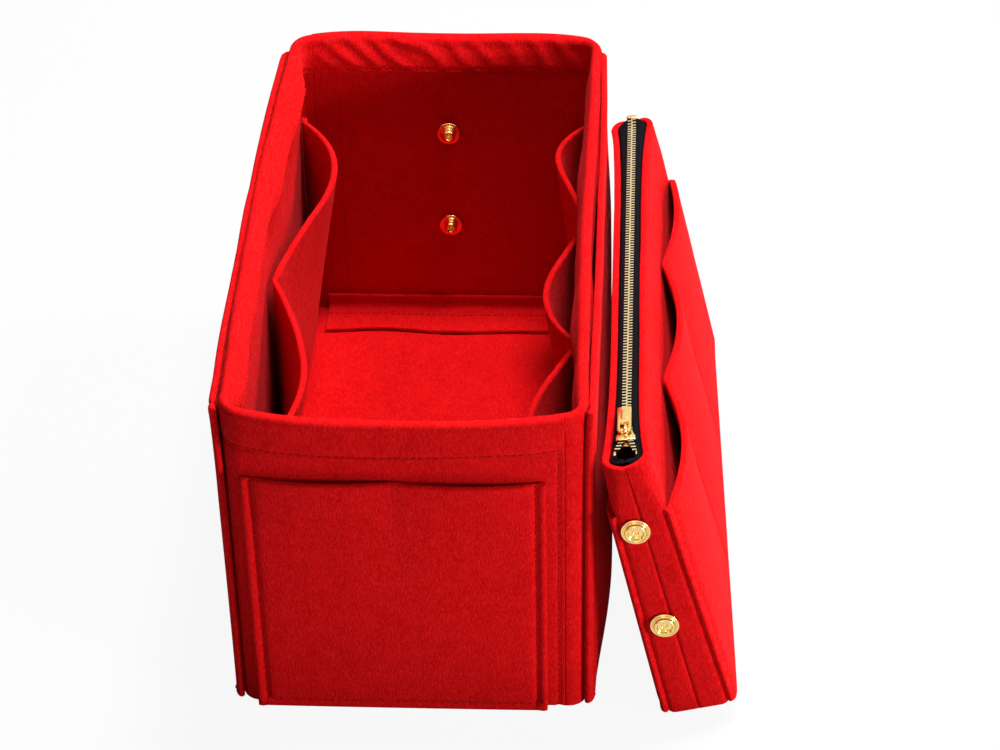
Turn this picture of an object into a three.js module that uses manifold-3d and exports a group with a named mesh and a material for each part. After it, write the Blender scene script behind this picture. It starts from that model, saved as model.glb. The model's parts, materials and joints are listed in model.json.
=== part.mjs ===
// A felt purse organizer: an open tub with slip pockets, and a zip pouch that leans beside it.
// Millimetres, +Z up. The origin is the middle of the tub's underside, +X points to the pouch's side
// and +Y to the far end. Each mesh is one piece that the maker cuts, stamps or casts.

import * as THREE from 'three';
import { mergeVertices } from 'three/addons/utils/BufferGeometryUtils.js';
import Module from 'manifold-3d';

const wasm = await Module();
wasm.setup();

// Felt and sewing
const FELT = 3; // main felt, all panels and pockets
const BINDING_FELT = 1.6; // thinner strip that finishes the rim
const SEWN_GAP = 0.3; // between two layers or two butted edges

// Tub
const TUB_WIDTH = 150;
const TUB_LENGTH = 300;
const TUB_HEIGHT = 160;
const INNER_CORNER_RADIUS = 3; // inside the rim strip, in plan
const SEAM_RETURN = 1.5; // straight felt between a rounded corner and its upright seam
const END_BOW = 9; // how far the middle of an end's rim stands out
const END_BOW_RISE = 1.5; // power of height with which the bow grows
const END_BOW_FULLNESS = 4; // power with which it falls off towards the corners
const BAND_HEIGHT = 18; // rim strip, down each face

// Tub pockets
const END_POCKET_HEIGHT = 122;
const END_POCKET_MARGIN = 7.5; // from the corner and from the upright seam
const END_POCKET_GAPE = 7; // mouth, at its middle
const END_POCKET_FULLNESS = 4; // power with which the gape falls off towards the sewn edges
const OUTER_POCKET_DROP = 6; // below the rim
const OUTER_POCKET_END_INSET = 1; // from the tub's end
const INNER_POCKET_HEIGHT = 120;
const INNER_POCKET_END_GAP = 5; // from the end wall's inside
const LEFT_BAYS = 2;
const LEFT_BAY_BULGE = 20;
const RIGHT_BAYS = 3;
const RIGHT_BAY_BULGE = 14;

// Snap fasteners
const SNAP_SHANK_RADIUS = 1.5;
const SNAP_HOLE_CLEARANCE = 0.3;
const SNAP_FLANGE = 0.8; // thickness of the flange
const STUD_FLANGE_RADIUS = 5.8;
const STUD_NECK_RADIUS = 2.7;
const STUD_NECK_HEIGHT = 0.55;
const STUD_BULB_RADIUS = 3.2;
const STUD_BULB_WIDEST = 2.5; // above the flange
const STUD_BULB_HEIGHT = 3.6;
const STUD_TIP_RADIUS = 2.25;
const STUD_CAP_RADIUS = 6;
const SNAP_CAP_EDGE = 0.65; // upright edge of the cap
const SNAP_CAP_SHOULDER = 1.35; // height at which it starts to flatten
const SNAP_CAP_CROWN = 0.75; // share of its radius that is nearly flat
const SNAP_CAP_HEIGHT = 1.6;
const SOCKET_RADIUS = 6.25;
const SOCKET_EDGE_HEIGHT = 0.75;
const SOCKET_RIM_HEIGHT = 1.5;
const SOCKET_RIM_RADIUS = 5.3;
const SOCKET_MOUTH_RADIUS = 3.4;
const SOCKET_FLOOR = 0.6;
const SOCKET_BORE_RADIUS = 1;
const SOCKET_CAP_RADIUS = 3.8;
const SNAP_LOW = 50.5; // lower snap above the pouch's underside
const SNAP_SPACING = 52; // upper snap above the lower one
const SOCKET_SIDESTEP = 3.4; // from the pouch's end seam to the sockets

// Pouch
const POUCH_LENGTH = 275;
const POUCH_HEIGHT = 135;
const POUCH_BASE_WIDTH = 28; // over the shells, at the bottom
const POUCH_END_TOP_WIDTH = 20.4; // over the shells, at the zip's ends
const POUCH_MOUTH_WIDTH = 9.6; // between the shells, at the middle of the zip
const POUCH_INNER_CORNER_RADIUS = 1.2;
const POUCH_WAIST = 6; // power with which the top narrows away from the ends
const POUCH_LEAN = 14.4; // degrees
const POUCH_FORWARD = 5; // its near end past the tub's near end
const POUCH_POCKET_HEIGHT = 110;
const POUCH_POCKET_END_INSET = 0.5;
const POUCH_BAYS = 3;
const POUCH_BAY_BULGE = 7;

// Zip
const ZIP_DROP = 0.8; // chain's middle under the shells' top edge
const TAPE = 0.7; // thickness
const TAPE_LEG = 9; // sewn down the inside of the shell
const TOOTH_PITCH = 2.5;
const TOOTH_GAP = 0.2; // between meshed teeth
const TOOTH_HEIGHT = 1.8;
const TOOTH_LAP = 0.4; // past the chain's middle
const TOOTH_ROOT = 0.9; // from the chain's middle
const ROW_REACH = 2; // half of the closed chain's width
const CHAIN_NEAR_INSET = 12; // from the pouch's near end
const CHAIN_FAR_INSET = 8;
const CHAIN_SPREAD = 3.1; // how far each row parts at the near end
const STOP_LENGTH = 2.4;
const STOP_ROUNDING = 0.25; // share of its shorter side

// Slider and pull tab
const SLIDER_LENGTH = 9;
const SLIDER_FRONT = 2.25; // length of its wide front
const SLIDER_BACK = 3.4; // length of its narrow back
const SLIDER_BOTTOM_CORNER = 0.75;
const SLIDER_SETBACK = 10.5; // its middle past the chain's near end
const SLIDER_PLATE = 1;
const SLIDER_CLEARANCE = 0.25; // to the teeth and tape
const SLIDER_LIP = 0.55; // width of the down-turned lip
const SLIDER_LIP_DEPTH = 0.5;
const SLIDER_POST_RADIUS = 0.5;
const SLIDER_POST_FROM_FRONT = 1.3;
const BAIL_WIDTH = 1.6;
const BAIL_WIRE = 0.9;
const BAIL_WINDOW_LENGTH = 3.4;
const BAIL_WINDOW_HEIGHT = 2.3;
const TAB_LENGTH = 15.5;
const TAB_WIDTH = 6;
const TAB_THICKNESS = 1.2;
const TAB_RAIL = 1.3; // beside its window
const TAB_WINDOW_LENGTH = 4.4;
const TAB_CORNER = 1.5;

// Facets
const CORNER_STEPS = 4;
const FOLD_STEPS = 2;
const SIDE_COLUMNS = 2;
const END_COLUMNS = 14;
const PANEL_ROWS = 4;
const BAY_COLUMNS = 8;
const LATHE_SIDES = 16;
const WELD = 1e-4; // points closer than this are one

// Sizes that follow from the ones above
const CORNER_RADIUS = INNER_CORNER_RADIUS + BINDING_FELT + SEWN_GAP + FELT;
const SEAM_INSET = CORNER_RADIUS + SEAM_RETURN;
const WALL_TOP = TUB_HEIGHT - BINDING_FELT - SEWN_GAP;
const FLOOR_TOP = FELT;
const RIM_STRIP_FACE = TUB_WIDTH / 2 + SEWN_GAP + BINDING_FELT;
const OUTER_POCKET_FACE = RIM_STRIP_FACE + SEWN_GAP; // its inside
const SNAP_HOLE_RADIUS = SNAP_SHANK_RADIUS + SNAP_HOLE_CLEARANCE;
const SNAP_HOLE_LENGTH = 3 * FELT; // well through the felt, however it leans
const SNAP_SEAT = FELT / 2 + SEWN_GAP; // from the felt's middle
const STUD_LOW = FLOOR_TOP + SEWN_GAP + SNAP_LOW;
const STUD_HEIGHTS = { lower: STUD_LOW, upper: STUD_LOW + SNAP_SPACING };
const SOCKET_HEIGHTS = { lower: SNAP_LOW, upper: SNAP_LOW + SNAP_SPACING };
const POUCH_CORNER_RADIUS = POUCH_INNER_CORNER_RADIUS + FELT;
const CHAIN_HEIGHT = POUCH_HEIGHT - ZIP_DROP;
const CHAIN_NEAR = -POUCH_LENGTH / 2 + CHAIN_NEAR_INSET;
const CHAIN_FAR = POUCH_LENGTH / 2 - CHAIN_FAR_INSET;
const SLIDER_MIDDLE = CHAIN_NEAR + SLIDER_SETBACK;

const RED_FELT = { color: 0xc4141b, roughness: 0.95, metalness: 0 };
const DARK_TAPE = { color: 0x14151a, roughness: 0.8, metalness: 0 };
const GOLD = { color: 0xd9ab4a, roughness: 0.22, metalness: 1 };

// Solids

function piece(name, geometry, finish) {
  const mesh = new THREE.Mesh(geometry, new THREE.MeshStandardMaterial(finish));
  mesh.name = name;
  return mesh;
}

function signedVolume(points, triangles) {
  let sum = 0;
  for (const [a, b, c] of triangles) {
    sum += points[a].dot(new THREE.Vector3().crossVectors(points[b], points[c]));
  }
  return sum / 6;
}

/** A closed solid from points and triangles, with its faces turned outwards. */
function solid(points, triangles) {
  const outward = signedVolume(points, triangles) > 0;
  const ordered = outward ? triangles : triangles.map(([a, b, c]) => [a, c, b]);
  const geometry = new THREE.BufferGeometry();
  const flat = points.flatMap((p) => [p.x, p.y, p.z]);
  geometry.setAttribute('position', new THREE.Float32BufferAttribute(flat, 3));
  geometry.setIndex(ordered.flat());
  geometry.computeVertexNormals();
  return geometry;
}

/** Joins like rings of points into a solid. The flat outline says how its two ends are closed. */
function loft(rings, outline) {
  const size = outline.length;
  const points = rings.flat();
  const triangles = [];
  for (let i = 0; i + 1 < rings.length; i++) {
    for (let k = 0; k < size; k++) {
      const next = (k + 1) % size;
      const [a, b] = [i * size + k, i * size + next];
      triangles.push([a, b, b + size], [a, b + size, a + size]);
    }
  }
  const lid = THREE.ShapeUtils.triangulateShape(outline, []);
  const turned = THREE.ShapeUtils.area(outline) > 0;
  const last = (rings.length - 1) * size;
  for (const [a, b, c] of lid) {
    triangles.push(turned ? [a, c, b] : [a, b, c]);
    triangles.push(turned ? [last + a, last + b, last + c] : [last + a, last + c, last + b]);
  }
  return solid(points, triangles);
}

/** A felt sheet. Each station gives the front and the back point at a height. */
function sheet(stations, heights) {
  const rings = stations.map((station) => [
    ...heights.map((z) => station(z).front),
    ...heights.toReversed().map((z) => station(z).back),
  ]);
  const outline = [
    ...heights.map((z) => new THREE.Vector2(0, z)),
    ...heights.toReversed().map((z) => new THREE.Vector2(1, z)),
  ];
  return loft(rings, outline);
}

function spread(from, to, count) {
  return Array.from({ length: count + 1 }, (_, i) => THREE.MathUtils.lerp(from, to, i / count));
}

function asManifold(geometry) {
  const bare = geometry.clone();
  bare.deleteAttribute('normal');
  bare.deleteAttribute('uv');
  const merged = mergeVertices(bare, WELD);
  return new wasm.Manifold(
    new wasm.Mesh({
      numProp: 3,
      vertProperties: new Float32Array(merged.attributes.position.array),
      triVerts: new Uint32Array(merged.index.array),
    }),
  );
}

function asGeometry(manifold) {
  const { vertProperties, triVerts } = manifold.getMesh();
  const geometry = new THREE.BufferGeometry();
  geometry.setAttribute('position', new THREE.Float32BufferAttribute(vertProperties, 3));
  geometry.setIndex(Array.from(triVerts));
  geometry.computeVertexNormals();
  return geometry;
}

const cut = (body, tools) => asGeometry(tools.reduce((m, t) => m.subtract(asManifold(t)), asManifold(body)));
const fuse = (bodies) => asGeometry(bodies.map(asManifold).reduce((a, b) => a.add(b)));

/** A flat plate with rounded corners in plan, from z = 0 up. */
function roundedPlate(width, length, radius, thickness) {
  const [x, y] = [width / 2 - radius, length / 2 - radius];
  const shape = new THREE.Shape();
  shape.absarc(x, y, radius, 0, Math.PI / 2);
  shape.absarc(-x, y, radius, Math.PI / 2, Math.PI);
  shape.absarc(-x, -y, radius, Math.PI, 1.5 * Math.PI);
  shape.absarc(x, -y, radius, 1.5 * Math.PI, 2 * Math.PI);
  return extrude(shape, thickness);
}

function extrude(shape, depth) {
  return new THREE.ExtrudeGeometry(shape, { depth, bevelEnabled: false, curveSegments: CORNER_STEPS });
}

function lathe(profile) {
  return new THREE.LatheGeometry(profile.map(([r, y]) => new THREE.Vector2(r, y)), LATHE_SIDES);
}

function rod(radius, length) {
  return new THREE.CylinderGeometry(radius, radius, length, LATHE_SIDES);
}

// Tub shape

/** How far the soft end stands out at a place across it and a height. */
function endBow(x, z) {
  const across = Math.max(0, 1 - Math.abs((2 * x) / TUB_WIDTH) ** END_BOW_FULLNESS);
  return END_BOW * across * (Math.max(0, z) / TUB_HEIGHT) ** END_BOW_RISE;
}

/** Moves a point of the straight tub to where the bowed ends carry it. */
function soften(x, y, z) {
  const nearEnd = THREE.MathUtils.smoothstep(Math.abs(y), 0, TUB_LENGTH / 2 - SEAM_INSET);
  return new THREE.Vector3(x, y + Math.sign(y) * endBow(x, z) * nearEnd, z);
}

/** Turns a plan point by quarter turns, so that one description serves all four sides. */
function turned([x, y], quarters) {
  const ways = [[x, y], [-y, x], [-x, -y], [y, -x]];
  return ways[quarters];
}

/** Plan points along one side and round its left corner, each at a depth inside the outer face. */
function sideStations(quarters, columns) {
  const sideways = quarters % 2 === 1;
  const halfAlong = (sideways ? TUB_LENGTH : TUB_WIDTH) / 2;
  const halfAcross = (sideways ? TUB_WIDTH : TUB_LENGTH) / 2;
  const turn = halfAlong - CORNER_RADIUS;
  const straight = spread(halfAlong - SEAM_INSET - SEWN_GAP, -turn, columns).map(
    (x) => (depth) => [x, -halfAcross + depth],
  );
  const corner = spread(0, Math.PI / 2, CORNER_STEPS).slice(1).map((angle) => (depth) => [
    -turn - (CORNER_RADIUS - depth) * Math.sin(angle),
    -halfAcross + CORNER_RADIUS - (CORNER_RADIUS - depth) * Math.cos(angle),
  ]);
  const seam = (depth) => [-halfAlong + depth, -halfAcross + SEAM_INSET];
  return [...straight, ...corner, seam].map((plan) => (depth, z) => {
    const [x, y] = turned(plan(depth), quarters);
    return soften(x, y, z);
  });
}

const SIDES = [
  { name: 'near', quarters: 0, columns: END_COLUMNS, isEnd: true },
  { name: 'right', quarters: 1, columns: SIDE_COLUMNS, isEnd: false },
  { name: 'far', quarters: 2, columns: END_COLUMNS, isEnd: true },
  { name: 'left', quarters: 3, columns: SIDE_COLUMNS, isEnd: false },
];
const ENDS = SIDES.filter((side) => side.isEnd);

// Tub pieces

function bottomPanel() {
  const inset = FELT + SEWN_GAP;
  const [width, length] = [TUB_WIDTH - 2 * inset, TUB_LENGTH - 2 * inset];
  return piece('bottom_panel', roundedPlate(width, length, CORNER_RADIUS - inset, FLOOR_TOP), RED_FELT);
}

/** Where a snap sits on an end wall: the wall's middle, leaning as the bowed wall leans there. */
function onEndWall(quarters, height) {
  const place = new THREE.Group();
  const slope = (endBow(0, height + 1) - endBow(0, height - 1)) / 2;
  const [, y] = turned([0, -TUB_LENGTH / 2 + FELT / 2], quarters);
  place.position.copy(soften(0, y, height));
  place.rotation.set(Math.atan(slope), 0, (quarters * Math.PI) / 2, 'ZYX');
  return place;
}

function wall({ name, quarters, columns, isEnd }) {
  const stations = sideStations(quarters, columns).map((at) => (z) => ({
    front: at(0, z),
    back: at(FELT, z),
  }));
  const felt = sheet(stations, spread(0, WALL_TOP, PANEL_ROWS));
  if (!isEnd) return piece(`${name}_side_wall`, felt, RED_FELT);
  const holes = Object.values(STUD_HEIGHTS).map((height) => {
    const place = onEndWall(quarters, height);
    place.updateMatrix();
    return rod(SNAP_HOLE_RADIUS, SNAP_HOLE_LENGTH).applyMatrix4(place.matrix);
  });
  return piece(`${name}_end_wall`, cut(felt, holes), RED_FELT);
}

/** The strip over the rim. On the ends it is folded over both faces, on the sides it turns inside only. */
function rimStrip({ name, quarters, columns, isEnd }) {
  const inner = FELT + SEWN_GAP;
  const outer = -SEWN_GAP;
  const [innerFace, outerFace] = [inner + BINDING_FELT, isEnd ? outer - BINDING_FELT : 0];
  const under = TUB_HEIGHT - BINDING_FELT;
  const hem = TUB_HEIGHT - BAND_HEIGHT;
  const fold = (centre, from, to) => spread(from, to, FOLD_STEPS).map((angle) => [
    centre + BINDING_FELT * Math.cos(angle),
    under + BINDING_FELT * Math.sin(angle),
  ]);
  const outerLeg = isEnd ? [[outer, under], [outer, hem], [outerFace, hem]] : [];
  const profile = [
    ...outerLeg,
    ...fold(outerFace + BINDING_FELT, Math.PI, Math.PI / 2),
    ...fold(innerFace - BINDING_FELT, Math.PI / 2, 0),
    [innerFace, hem],
    [inner, hem],
    [inner, under],
  ];
  const rings = sideStations(quarters, columns).map((at) => profile.map(([depth, z]) => at(depth, z)));
  const outline = profile.map(([depth, z]) => new THREE.Vector2(depth, z));
  return piece(`${name}_rim_${isEnd ? 'binding' : 'facing'}`, loft(rings, outline), RED_FELT);
}

/** A patch pocket on the outside of an end, sewn on three edges, with a mouth that gapes at its middle. */
function endPocket({ name, quarters }) {
  const left = -TUB_WIDTH / 2 + END_POCKET_MARGIN;
  const right = TUB_WIDTH / 2 - SEAM_INSET - END_POCKET_MARGIN;
  const [middle, half] = [(left + right) / 2, (right - left) / 2];
  const stations = spread(left, right, END_COLUMNS).map((x) => (z) => {
    const across = 1 - Math.abs((x - middle) / half) ** END_POCKET_FULLNESS;
    const gape = END_POCKET_GAPE * across * (z / END_POCKET_HEIGHT);
    const face = (depth) => {
      const [px, py] = turned([x, -TUB_LENGTH / 2 - SEWN_GAP - gape - depth], quarters);
      return soften(px, py, z);
    };
    return { front: face(FELT), back: face(0) };
  });
  return piece(`${name}_end_pocket`, sheet(stations, spread(0, END_POCKET_HEIGHT, PANEL_ROWS)), RED_FELT);
}

/** How far a pocket with bays stands off: nothing at its foot and its seams, most in a bay's mouth. */
function bayBulge(share, rise, bays, bulge) {
  return bulge * Math.abs(Math.sin(Math.PI * bays * share)) * rise;
}

function innerPocket(name, side, bays, bulge) {
  const foot = FLOOR_TOP + SEWN_GAP;
  const half = TUB_LENGTH / 2 - FELT - INNER_POCKET_END_GAP;
  const face = TUB_WIDTH / 2 - FELT - SEWN_GAP;
  const stations = spread(-half, half, bays * BAY_COLUMNS).map((y) => (z) => {
    const rise = (z - foot) / (INNER_POCKET_HEIGHT - foot);
    const off = bayBulge((y + half) / (2 * half), rise, bays, bulge);
    return {
      front: new THREE.Vector3(side * (face - off - FELT), y, z),
      back: new THREE.Vector3(side * (face - off), y, z),
    };
  });
  return piece(name, sheet(stations, spread(foot, INNER_POCKET_HEIGHT, PANEL_ROWS)), RED_FELT);
}

function outerPocket(name, side) {
  const height = TUB_HEIGHT - OUTER_POCKET_DROP;
  const length = TUB_LENGTH - 2 * OUTER_POCKET_END_INSET;
  const panel = piece(name, new THREE.BoxGeometry(FELT, length, height), RED_FELT);
  panel.position.set(side * (OUTER_POCKET_FACE + FELT / 2), 0, height / 2);
  return panel;
}

function tubStud(end, level, height) {
  const place = onEndWall(end.quarters, height);
  const top = SNAP_SEAT + SNAP_FLANGE;
  const stud = lathe([
    [0, -FELT / 2],
    [SNAP_SHANK_RADIUS, -FELT / 2],
    [SNAP_SHANK_RADIUS, SNAP_SEAT],
    [STUD_FLANGE_RADIUS, SNAP_SEAT],
    [STUD_FLANGE_RADIUS, top],
    [STUD_NECK_RADIUS, top + STUD_NECK_HEIGHT],
    [STUD_BULB_RADIUS, top + STUD_BULB_WIDEST],
    [STUD_TIP_RADIUS, top + STUD_BULB_HEIGHT],
    [0, top + STUD_BULB_HEIGHT],
  ]);
  place.add(piece(`${end.name}_${level}_stud`, stud, GOLD));
  place.add(piece(`${end.name}_${level}_stud_cap`, backCap(STUD_CAP_RADIUS), GOLD));
  return place;
}

/** The domed cap behind a snap, on the other face of its felt. */
function backCap(radius) {
  return lathe([
    [0, -SNAP_SEAT - SNAP_CAP_HEIGHT],
    [SNAP_CAP_CROWN * radius, -SNAP_SEAT - SNAP_CAP_SHOULDER],
    [radius, -SNAP_SEAT - SNAP_CAP_EDGE],
    [radius, -SNAP_SEAT],
    [0, -SNAP_SEAT],
  ]);
}

function tub() {
  const group = new THREE.Group();
  group.add(bottomPanel());
  SIDES.forEach((side) => group.add(wall(side), rimStrip(side)));
  ENDS.forEach((end) => {
    group.add(endPocket(end));
    Object.entries(STUD_HEIGHTS).forEach(([level, height]) => group.add(tubStud(end, level, height)));
  });
  group.add(outerPocket('left_outer_pocket', -1), outerPocket('right_outer_pocket', 1));
  group.add(innerPocket('left_inner_pocket', -1, LEFT_BAYS, LEFT_BAY_BULGE));
  group.add(innerPocket('right_inner_pocket', 1, RIGHT_BAYS, RIGHT_BAY_BULGE));
  return group;
}

// Pouch shape, with x = 0 on its middle plane and z = 0 under it

const POUCH_STRAIGHT = POUCH_LENGTH / 2 - POUCH_CORNER_RADIUS;

/** How much of the ends' width the top has at a place, on the straight facets that all its pieces share. */
function endShare(y) {
  const along = (y + POUCH_STRAIGHT) / (2 * POUCH_STRAIGHT);
  const place = END_COLUMNS * THREE.MathUtils.clamp(along, 0, 1);
  const column = Math.min(Math.floor(place), END_COLUMNS - 1);
  const [from, to] = [column, column + 1].map((k) => Math.abs((2 * k) / END_COLUMNS - 1) ** POUCH_WAIST);
  return THREE.MathUtils.lerp(from, to, place - column);
}

/** Half of the pouch's width over its shells: narrow at the top, and narrowest at the middle of the zip. */
function pouchHalfWidth(y, z) {
  const middle = POUCH_MOUTH_WIDTH / 2 + FELT;
  const top = THREE.MathUtils.lerp(middle, POUCH_END_TOP_WIDTH / 2, endShare(y));
  return THREE.MathUtils.lerp(POUCH_BASE_WIDTH / 2, top, z / POUCH_HEIGHT);
}

/** One shell, from the seam on the near end, along one face, to the seam on the far end. */
function pouchShell(name, side) {
  const turn = (z) => pouchHalfWidth(POUCH_LENGTH / 2, z) - POUCH_CORNER_RADIUS;
  const seam = (end) => (depth) => [SEWN_GAP / 2, end * (POUCH_LENGTH / 2 - depth)];
  const endFace = (end) => (depth, z) => [turn(z), end * (POUCH_LENGTH / 2 - depth)];
  const corner = (end) => spread(0, Math.PI / 2, CORNER_STEPS).slice(1, -1).map((angle) => (depth, z) => {
    const radius = POUCH_CORNER_RADIUS - depth;
    return [turn(z) + radius * Math.sin(angle), end * (POUCH_STRAIGHT + radius * Math.cos(angle))];
  });
  const face = spread(-POUCH_STRAIGHT, POUCH_STRAIGHT, END_COLUMNS).map((y) => (depth, z) => [
    pouchHalfWidth(y, z) - depth,
    y,
  ]);
  const nearEnd = [seam(-1), endFace(-1), ...corner(-1)];
  const farEnd = [...corner(1).toReversed(), endFace(1), seam(1)];
  const plan = [...nearEnd, ...face, ...farEnd];
  const stations = plan.map((at) => (z) => {
    const point = (depth) => {
      const [x, y] = at(depth, z);
      return new THREE.Vector3(side * x, y, z);
    };
    return { front: point(0), back: point(FELT) };
  });
  const felt = sheet(stations, spread(0, POUCH_HEIGHT, PANEL_ROWS));
  if (side > 0) return piece(name, felt, RED_FELT);
  const holes = [-1, 1].flatMap((end) => Object.values(SOCKET_HEIGHTS).map((height) => {
    const hole = rod(SNAP_HOLE_RADIUS, SNAP_HOLE_LENGTH);
    return hole.translate(-SOCKET_SIDESTEP, (end * (POUCH_LENGTH - FELT)) / 2, height);
  }));
  return piece(name, cut(felt, holes), RED_FELT);
}

function pouchBottom() {
  const inset = FELT + SEWN_GAP;
  const narrowing = pouchHalfWidth(0, 0) - pouchHalfWidth(0, FELT);
  const width = POUCH_BASE_WIDTH - 2 * (inset + narrowing);
  const length = POUCH_LENGTH - 2 * inset;
  return piece('pouch_bottom', roundedPlate(width, length, POUCH_INNER_CORNER_RADIUS, FELT), RED_FELT);
}

function pouchPocket(name, side, bulge) {
  const half = POUCH_LENGTH / 2 - POUCH_POCKET_END_INSET;
  const stations = spread(-half, half, POUCH_BAYS * BAY_COLUMNS).map((y) => (z) => {
    const off = bayBulge((y + half) / (2 * half), z / POUCH_POCKET_HEIGHT, POUCH_BAYS, bulge);
    const face = pouchHalfWidth(y, z) + SEWN_GAP + off;
    return {
      front: new THREE.Vector3(side * (face + FELT), y, z),
      back: new THREE.Vector3(side * face, y, z),
    };
  });
  return piece(name, sheet(stations, spread(0, POUCH_POCKET_HEIGHT, PANEL_ROWS)), RED_FELT);
}

function pouchSocket(endName, end, level, height) {
  const place = new THREE.Group();
  place.position.set(-SOCKET_SIDESTEP, (end * (POUCH_LENGTH - FELT)) / 2, height);
  place.rotation.z = end > 0 ? 0 : Math.PI;
  const rim = SNAP_SEAT + SOCKET_RIM_HEIGHT;
  const dish = lathe([
    [SOCKET_BORE_RADIUS, -FELT / 2],
    [SNAP_SHANK_RADIUS, -FELT / 2],
    [SNAP_SHANK_RADIUS, SNAP_SEAT],
    [SOCKET_RADIUS, SNAP_SEAT],
    [SOCKET_RADIUS, SNAP_SEAT + SOCKET_EDGE_HEIGHT],
    [SOCKET_RIM_RADIUS, rim],
    [SOCKET_MOUTH_RADIUS, rim],
    [SOCKET_MOUTH_RADIUS, SNAP_SEAT + SOCKET_FLOOR],
    [SOCKET_BORE_RADIUS, SNAP_SEAT + SOCKET_FLOOR],
    [SOCKET_BORE_RADIUS, -FELT / 2],
  ]);
  place.add(piece(`${endName}_${level}_socket`, dish, GOLD));
  place.add(piece(`${endName}_${level}_socket_cap`, backCap(SOCKET_CAP_RADIUS), GOLD));
  return place;
}

// Zip

/** How far a tooth row stands from the closed chain: the rows part in a V before the slider. */
function rowParting(y) {
  const open = THREE.MathUtils.clamp((SLIDER_MIDDLE - y) / (SLIDER_MIDDLE - CHAIN_NEAR), 0, 1);
  return CHAIN_SPREAD * open;
}

function zipTape(name, side) {
  const columns = spread(-POUCH_STRAIGHT, POUCH_STRAIGHT, END_COLUMNS);
  const places = [CHAIN_NEAR, SLIDER_MIDDLE, ...columns].toSorted((a, b) => a - b);
  const [upper, lower] = [CHAIN_HEIGHT + TAPE / 2, CHAIN_HEIGHT - TAPE / 2];
  const foot = CHAIN_HEIGHT - TAPE_LEG;
  const profile = (y) => {
    const wall = pouchHalfWidth(y, upper) - FELT - SEWN_GAP;
    const edge = ROW_REACH + SEWN_GAP + rowParting(y);
    return [
      [edge, lower],
      [wall - TAPE, lower],
      [wall - TAPE, foot],
      [wall, foot],
      [wall, upper],
      [edge, upper],
    ];
  };
  const rings = places.map((y) => profile(y).map(([x, z]) => new THREE.Vector3(side * x, y, z)));
  const outline = profile(0).map(([x, z]) => new THREE.Vector2(x, z));
  return piece(name, loft(rings, outline), DARK_TAPE);
}

/** A row of teeth on its cord, as a comb. The two rows are half a pitch apart, so that they mesh. */
function toothRow(name, side) {
  const tooth = TOOTH_PITCH / 2 - TOOTH_GAP;
  const quarterPitch = TOOTH_PITCH / 4;
  const first = CHAIN_NEAR + (side > 0 ? quarterPitch : 3 * quarterPitch);
  const count = Math.floor((CHAIN_FAR - first) / TOOTH_PITCH);
  const at = (x, y) => new THREE.Vector2(side * (x + rowParting(y)), y);
  const outline = [at(ROW_REACH, CHAIN_FAR), at(ROW_REACH, SLIDER_MIDDLE), at(ROW_REACH, CHAIN_NEAR)];
  outline.push(at(TOOTH_ROOT, CHAIN_NEAR));
  for (let i = 0; i < count; i++) {
    const y = first + i * TOOTH_PITCH;
    outline.push(at(TOOTH_ROOT, y - tooth / 2), at(-TOOTH_LAP, y - tooth / 2));
    outline.push(at(-TOOTH_LAP, y + tooth / 2), at(TOOTH_ROOT, y + tooth / 2));
  }
  outline.push(at(TOOTH_ROOT, CHAIN_FAR));
  const row = extrude(new THREE.Shape(outline), TOOTH_HEIGHT);
  return piece(name, row.translate(0, 0, CHAIN_HEIGHT - TOOTH_HEIGHT / 2), GOLD);
}

function topStop(name, side) {
  const width = ROW_REACH - TOOTH_ROOT;
  const plate = roundedPlate(width, STOP_LENGTH, STOP_ROUNDING * width, TOOTH_HEIGHT);
  const stop = piece(name, plate, GOLD);
  const x = side * (ROW_REACH - width / 2 + CHAIN_SPREAD);
  stop.position.set(x, CHAIN_NEAR - SEWN_GAP - STOP_LENGTH / 2, CHAIN_HEIGHT - TOOTH_HEIGHT / 2);
  return stop;
}

function bottomStop() {
  const stop = roundedPlate(2 * ROW_REACH, STOP_LENGTH, STOP_ROUNDING * STOP_LENGTH, TOOTH_HEIGHT);
  const y = CHAIN_FAR + SEWN_GAP + STOP_LENGTH / 2;
  return piece('bottom_stop', stop.translate(0, y, CHAIN_HEIGHT - TOOTH_HEIGHT / 2), GOLD);
}

// Slider, with y = 0 at its middle and its front towards -Y, where the rows part

const SLIDER_FRONT_PARTING = rowParting(SLIDER_MIDDLE - SLIDER_LENGTH / 2);
const PLATE_GAP = TOOTH_HEIGHT / 2 + SLIDER_CLEARANCE;
const SLIDER_TOP = CHAIN_HEIGHT + PLATE_GAP + SLIDER_PLATE;
const TAB_AXIS_HEIGHT = SLIDER_TOP + BAIL_WINDOW_HEIGHT / 2;

/** The slider's plan at a distance outside the channel that the teeth run in. */
function sliderPlan(margin) {
  const front = ROW_REACH + SLIDER_FRONT_PARTING + SLIDER_CLEARANCE + margin;
  const back = ROW_REACH + SLIDER_CLEARANCE + margin;
  const half = SLIDER_LENGTH / 2;
  const right = [[front, -half], [front, SLIDER_FRONT - half], [back, half - SLIDER_BACK], [back, half]];
  const left = right.map(([x, y]) => [-x, y]).toReversed();
  return new THREE.Shape([...right, ...left].map(([x, y]) => new THREE.Vector2(x, y)));
}

/** The strip along one side of the slider's channel. */
function sliderLip(side) {
  const rightSide = (plan) => plan.getPoints().filter((p) => p.x > 0);
  const [inside, outside] = [sliderPlan(0), sliderPlan(SLIDER_LIP)].map(rightSide);
  const loop = [...inside, ...outside.toReversed()].map((p) => new THREE.Vector2(side * p.x, p.y));
  return extrude(new THREE.Shape(loop), SLIDER_LIP_DEPTH + SLIDER_PLATE);
}

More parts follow.
